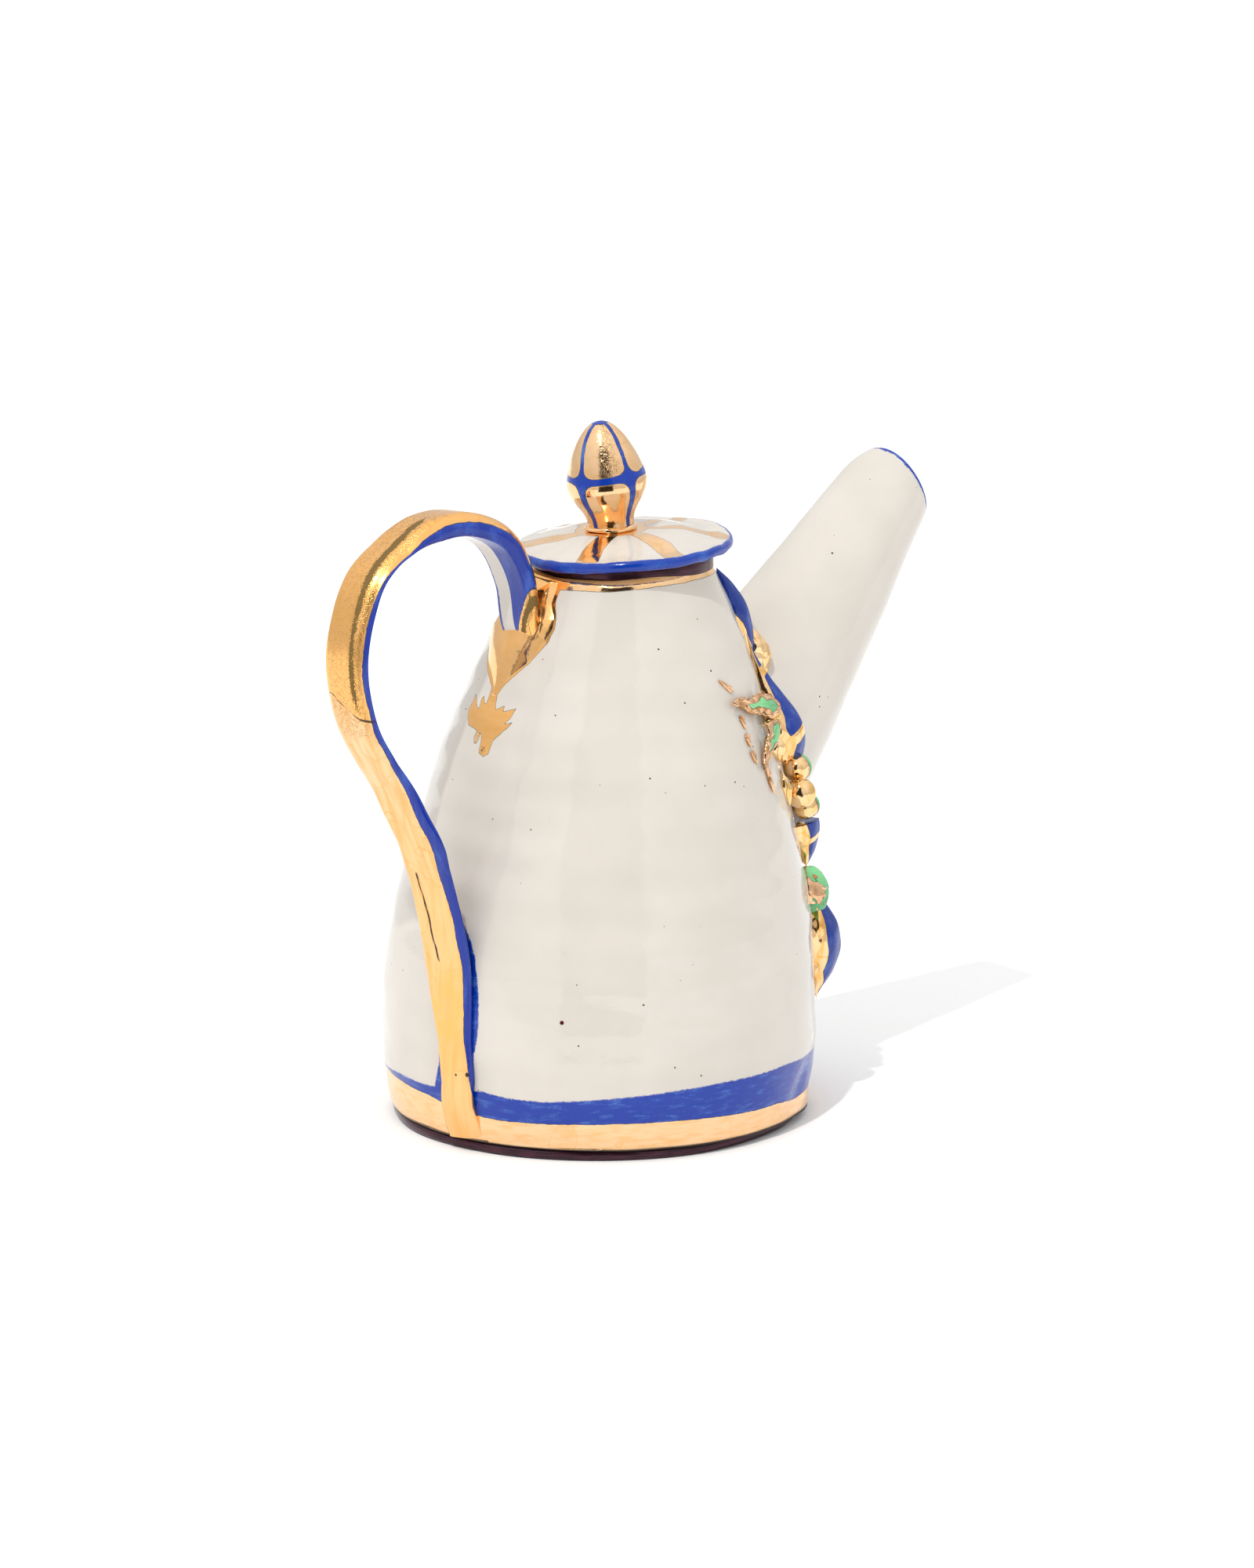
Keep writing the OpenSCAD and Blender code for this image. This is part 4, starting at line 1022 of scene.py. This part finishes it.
pits_and_dark_reflection = 0.7 * np.exp(-((panel - THUMB_AT) / THUMB_SPREAD) ** 2) * np.clip((h - 16) / 4, 0, 1)
knob = ring_mesh("bud_knob", at_mouth(rings @ KNOB_TURN.T + KNOB_AT + (0, 0, COLLAR_H)),
                 {"gold": -lines, "blue": lines + 0.3, "pits_and_dark_reflection": pits_and_dark_reflection, "amber": 0.0})
fit(knob, painted_glaze("knob_glaze", brush=(1, 1, 1), dry=0.25), "gold_lustre", "knob", body="lid")

# ---- the branch: petals and pods ----
# Buds of clay pinched to a crest and pressed on beside the spout. Cobalt covers each crest, gold each near
# side, and gold bands cross the two large petals.


def on_wall(points, up, around, turn=0.0, lift=0.0):
    """Puts local points on the wall: X down it, Y around it and Z out of it."""
    slope = math.degrees(wall_slope(up))
    way = turned(("Y", math.degrees(LEAN)), ("Z", around), ("Y", 90 - slope), ("Z", turn))
    return (np.asarray(points, float) + (0, 0, lift)) @ way.T + wall_point(math.radians(around), up)


def bud(length, thick, late=1.0, pinch=0.1, first=0.0, rows=74, columns=72):
    """Rings of a pinched bud along X, with each point's share of the length, crest angle and radius."""
    share = first + (1 - first) * (1 - np.cos(np.pi * np.linspace(0.02, 0.98, rows))) / 2
    angle = (np.arange(columns) / columns * 2 - 1) * np.pi
    share, angle = np.meshgrid(share, angle, indexing="ij")
    r = thick * np.sin(np.pi * share ** late) * (1 + pinch * np.exp(-(angle / 0.3) ** 2) - pinch * 0.5)
    return np.stack([length * (share - 0.5), r * np.sin(angle), r * np.cos(angle)], -1), share, angle, r


# Name, node, place on the wall, length, thickness, lateness, start, where cobalt ends on the near side in
# degrees from the crest at the two ends, and the gold bands as start and end shares of the length
PETALS = [
    ("long_leaf_bud", "long_leaf", (172, -32.5, 4, 0), 35, 4.8, 1, 0, (-140, -30), []),
    ("upper_petal_bud", "upper_petal", (142, -37, 2, 0.5), 54, 8.7, 2.0, 0, (-50, -62),
     [(0.25, 0.31), (0.68, 0.75)]),
    ("lower_petal_bud", "lower_petal", (100, -33, 0, 0.5), 30, 7, 1, 0.49, (-80, -56), [(0.62, 0.68)]),
    ("pod_bud", "pod", (59, -30, 3, 0.8), 40, 9, 1, 0, (-58, -66), [])]
petal_glaze = painted_glaze("petal_glaze", brush=(3, 3, 0.6), dry=0.3,
                            gold=((0.95, 0.64, 0.34), (0.85, 0.45, 0.12)),
                            cobalt=((0.04, 0.1, 0.4), (0.0, 0.028, 0.26)))
for name, node, place_on, length, thick, late, first, limits, bands in PETALS:
    local, share, angle, r = bud(length, thick, late, 0.12, first)
    gouge = np.clip(-angle - 0.9, 0, 1) * np.clip(2.6 + angle, 0, 1)
    local *= (1 + 0.05 * lumps(local, 7, 4) + 0.14 * gouge * lumps(local * (0.6, 1, 1), 3.2, 9))[..., None]
    limit = np.radians(limits[0] + (limits[1] - limits[0]) * share) + 0.25 * lumps(local * (1, 0, 0), 6, 3)
    blue = (angle - limit) * r
    for start, end in bands:
        middle, half = (start + end) / 2 * length, (end - start) / 2 * length
        slant = share * length + 0.25 * r * angle - middle
        blue = np.minimum(blue, np.abs(slant) - half)
    blue = np.minimum(blue, (2.3 - angle) * r)
    points = settle(on_wall(local, *place_on), 1.5)
    fit(ring_mesh(name, points, {"gold": -blue, "blue": blue + 0.3}), petal_glaze, "cobalt_glaze", node)

# Gold all over: the bract behind the petals, the folded hood, the sepal and the stem
GOLD_BUDS = [("bract_bud", "far_bract", (155.7, -23, 0, 3), 21, 5),
             ("hood_fold", "hood", (139.5, -51, 20, 0.5), 9, 4.2),
             ("sepal_bud", "sepal", (129.5, -51.5, 4, 0.2), 10.5, 3.2),
             ("stem_roll", "stem", (116, -51.5, 0, 0), 13, 2.2)]
bud_glaze = painted_glaze("gold_bud_glaze", brush=(2, 2, 1), gold=((0.95, 0.66, 0.36), (0.82, 0.5, 0.16)))
for name, node, place_on, length, thick in GOLD_BUDS:
    local, _, angle, r = bud(length, thick)
    local *= (1 + 0.14 * lumps(local, 2.6, thick))[..., None]
    crack_and_shade = 0.16 - np.abs(angle + 1.2 - 0.5 * lumps(local * (1, 0, 0), 4, 2)) * r * 0.5
    points = settle(on_wall(local, *place_on), 1.2)
    fit(ring_mesh(name, points, {"gold": 5.0, "crack_and_shade": crack_and_shade}), bud_glaze, "gold_lustre", node)

# ---- the branch: leaflets, tail, tendril and flecks ----
# Thin blades of clay with torn edges, glazed leaf green, their edges and tips dragged with gold.
GREEN_GLAZE, RAGGED = ((0.08, 0.35, 0.13), (0.25, 0.67, 0.3)), 0.3


def blade(length, width, thick, ragged, seed):
    """Rings of a torn blade along X with a vein, and each point's distance in from the edge."""
    share = (1 - np.cos(np.pi * np.linspace(0.03, 0.98, 60))) / 2
    angle = np.arange(64) / 64 * 2 * np.pi
    share, angle = np.meshgrid(share, angle, indexing="ij")
    line = np.stack([share * length, 20 * np.sign(np.cos(angle)), 0 * share], -1)
    half = width / 2 * 1.15 * np.clip(share / 0.2, 0, 1) ** 0.6 * (1 - share) ** 0.75
    half = half * (1 + ragged * lumps(line, 1.7, seed))
    across = half * np.cos(angle)
    vein = -0.5 * np.exp(-(across / 0.7) ** 2) * (np.sin(angle) > 0)
    high = thick * np.sin(np.pi * share) ** 0.6 * np.sin(angle) + vein * np.clip(half, 0, 1)
    local = np.stack([length * (share - 0.5), across + 0.6 * lumps(line * (1, 0, 0), 6, seed + 3), high], -1)
    local[..., 2] += 0.35 * lumps(local, 2.2, seed + 5) * np.clip(half / 2, 0, 1)
    return local, half - np.abs(across)


# Name, node, place, length, width, thickness and how far gold runs in from the edge: under 5 mm, green shows
BLADES = [("leaflet_high_blade", "leaflet_high", (145.5, -66, -103, 0.6), 28, 9, 1.5, 2.3),
          ("leaflet_low_blade", "leaflet_low", (131.5, -62, -42, 0.6), 20, 8, 1.5, 2),
          ("leaf_tail_blade", "leaf_tail", (122.5, -65, 8, 0.3), 14, 3.0, 1.1, 9),
          ("tendril_blade", "tendril", (153.5, -79, -128, 0.3), 8, 2.6, 1.0, 9)]
GREEN_UNDER = 5
leaf_glaze = painted_glaze("leaf_glaze", brush=(2, 2, 1), ground=GREEN_GLAZE,
                           gold=((0.9, 0.56, 0.34), (0.5, 0.26, 0.1)))
for seed, (name, node, place_on, length, width, thick, trim) in enumerate(BLADES):
    local, edge = blade(length, width, thick, RAGGED, seed)
    gold = trim - edge + 1.2 * lumps(local * (0.6, 1, 1), 2, 4 + seed)
    if trim < GREEN_UNDER:
        local[..., 2] += 5 * np.clip(0.4 - local[..., 0] / length, 0, 1) ** 2
    points = settle(on_wall(local, *place_on), 1.2)
    crack_and_shade = 0.2 - 0.7 * np.minimum(np.abs(gold - 0.2), np.abs(gold - 1.6))
    slot = "green_glaze" if trim < GREEN_UNDER else "gold_lustre"
    fit(ring_mesh(name, points, {"gold": gold, "crack_and_shade": crack_and_shade}), leaf_glaze, slot, node)

FLECKS = [(141, -73.5), (135.2, -72.8), (129.5, -72)]
flecks = []
for seed, (up, around) in enumerate(FLECKS):
    local, _ = blade(5, 2.6, 1.0, RAGGED, 11 + seed)
    points = settle(on_wall(local, up, around, 10, 0.2), 1.2)
    flecks.append(ring_mesh("clay_fleck_blades", points, {"gold": 5.0}))


def joined_into(pieces):
    """Joins meshes into the first of them."""
    with bpy.context.temp_override(active_object=pieces[0], selected_editable_objects=pieces):
        bpy.ops.object.join()
    return pieces[0]


fit(joined_into(flecks), leaf_glaze, "gold_lustre", "clay_flecks")

# ---- the branch: berries and cupped leaf ----
# Rolled balls in gold, two with a drop of green glaze on the far side, and a cupped leaf over the pod.
# Name, node, height, angle round the pot, radius and whether it has a drop of green
BERRIES = [("berry_high_ball", "berry_high", 119.5, -40, 4.5, True),
           ("berry_middle_ball", "berry_middle", 112.3, -45, 5.2, False),
           ("berry_low_ball", "berry_low", 106, -37, 4.3, True)]
BERRY_LIFT, CAP_T, CAP_SPREAD, CAP_TURN = 3.6, 1.1, 69, turned(("X", -50))


def ball(r, low, high, seed):
    """Rings of a ball around Z, from one angle off its top to another, with soft lumps."""
    fall, spin = np.meshgrid(np.radians(np.linspace(low, high, 44)), np.radians(np.arange(0, 360, 5)),
                             indexing="ij")
    local = np.stack([np.sin(fall) * np.cos(spin), np.sin(fall) * np.sin(spin), np.cos(fall)], -1)
    return local * (r * (1 + 0.035 * lumps(local, 0.5, seed)))[..., None], fall


caps = []
for seed, (name, node, up, around, berry_r, capped) in enumerate(BERRIES):
    local, _ = ball(berry_r, 2, 178, seed)
    points = settle(on_wall(local, up, around, 0, BERRY_LIFT), 1.2)
    fit(ring_mesh(name, points, {"gold": 5.0}), bud_glaze, "gold_lustre", node)
    if capped:
        outer, fall = ball(1, 2, CAP_SPREAD, seed + 4)
        share = np.degrees(fall) / CAP_SPREAD
        skin = np.concatenate([outer * (berry_r + CAP_T * (1 - share ** 5))[..., None],
                               outer[::-1] * (berry_r - 0.5)]) @ CAP_TURN.T
        caps.append(ring_mesh("berry_cap_glaze", on_wall(skin, up, around, 0, BERRY_LIFT),
                              {"gold": np.concatenate([share * 4 - 3.7, 0 * share - 9])}))
fit(joined_into(caps), leaf_glaze, "green_glaze", "berry_caps")

CUP_R, CUP_T, CUP_AT = 7.4, 2.2, (77.5, -38, 0, -0.8)
tilt, sweep = np.meshgrid(np.radians(np.linspace(2, 92, 50)), np.radians(np.arange(-180, 180, 4)),
                          indexing="ij")
curl = 1 + 0.07 * lumps(np.stack([3 * np.cos(sweep), 3 * np.sin(sweep), tilt], -1), 1.2, 3)
shell = np.stack([-np.cos(sweep) * np.sin(tilt) * 0.95 - 0.05, np.sin(sweep) * np.sin(tilt),
                  np.cos(tilt)], -1)
outer = shell * (CUP_R * curl)[..., None]
inner = shell[::-1] * ((CUP_R - CUP_T) * curl[::-1])[..., None]
rings = np.concatenate([outer, inner])
rings[..., 0] = np.clip(1.3 * rings[..., 0], -9, 0.8 * CUP_R)
rings[..., 1] = np.clip(0.74 * rings[..., 1], -9, 0.8 * CUP_R)
edge = np.concatenate([CUP_R * (1.6 - tilt), 0 * tilt - 2])
patch = 1.9 - np.hypot(0.42 * rings[..., 0] + 0.5, rings[..., 1] + 4.6) + 2.2 * lumps(rings, 1.5, 8)
crack_and_shade = 0.14 - np.abs(patch)
fit(ring_mesh("cup_leaf_shell", settle(on_wall(rings, *CUP_AT), 1.5),
              {"gold": np.maximum(patch, 0.8 - edge), "crack_and_shade": crack_and_shade}), leaf_glaze, "green_glaze", "cup_leaf")
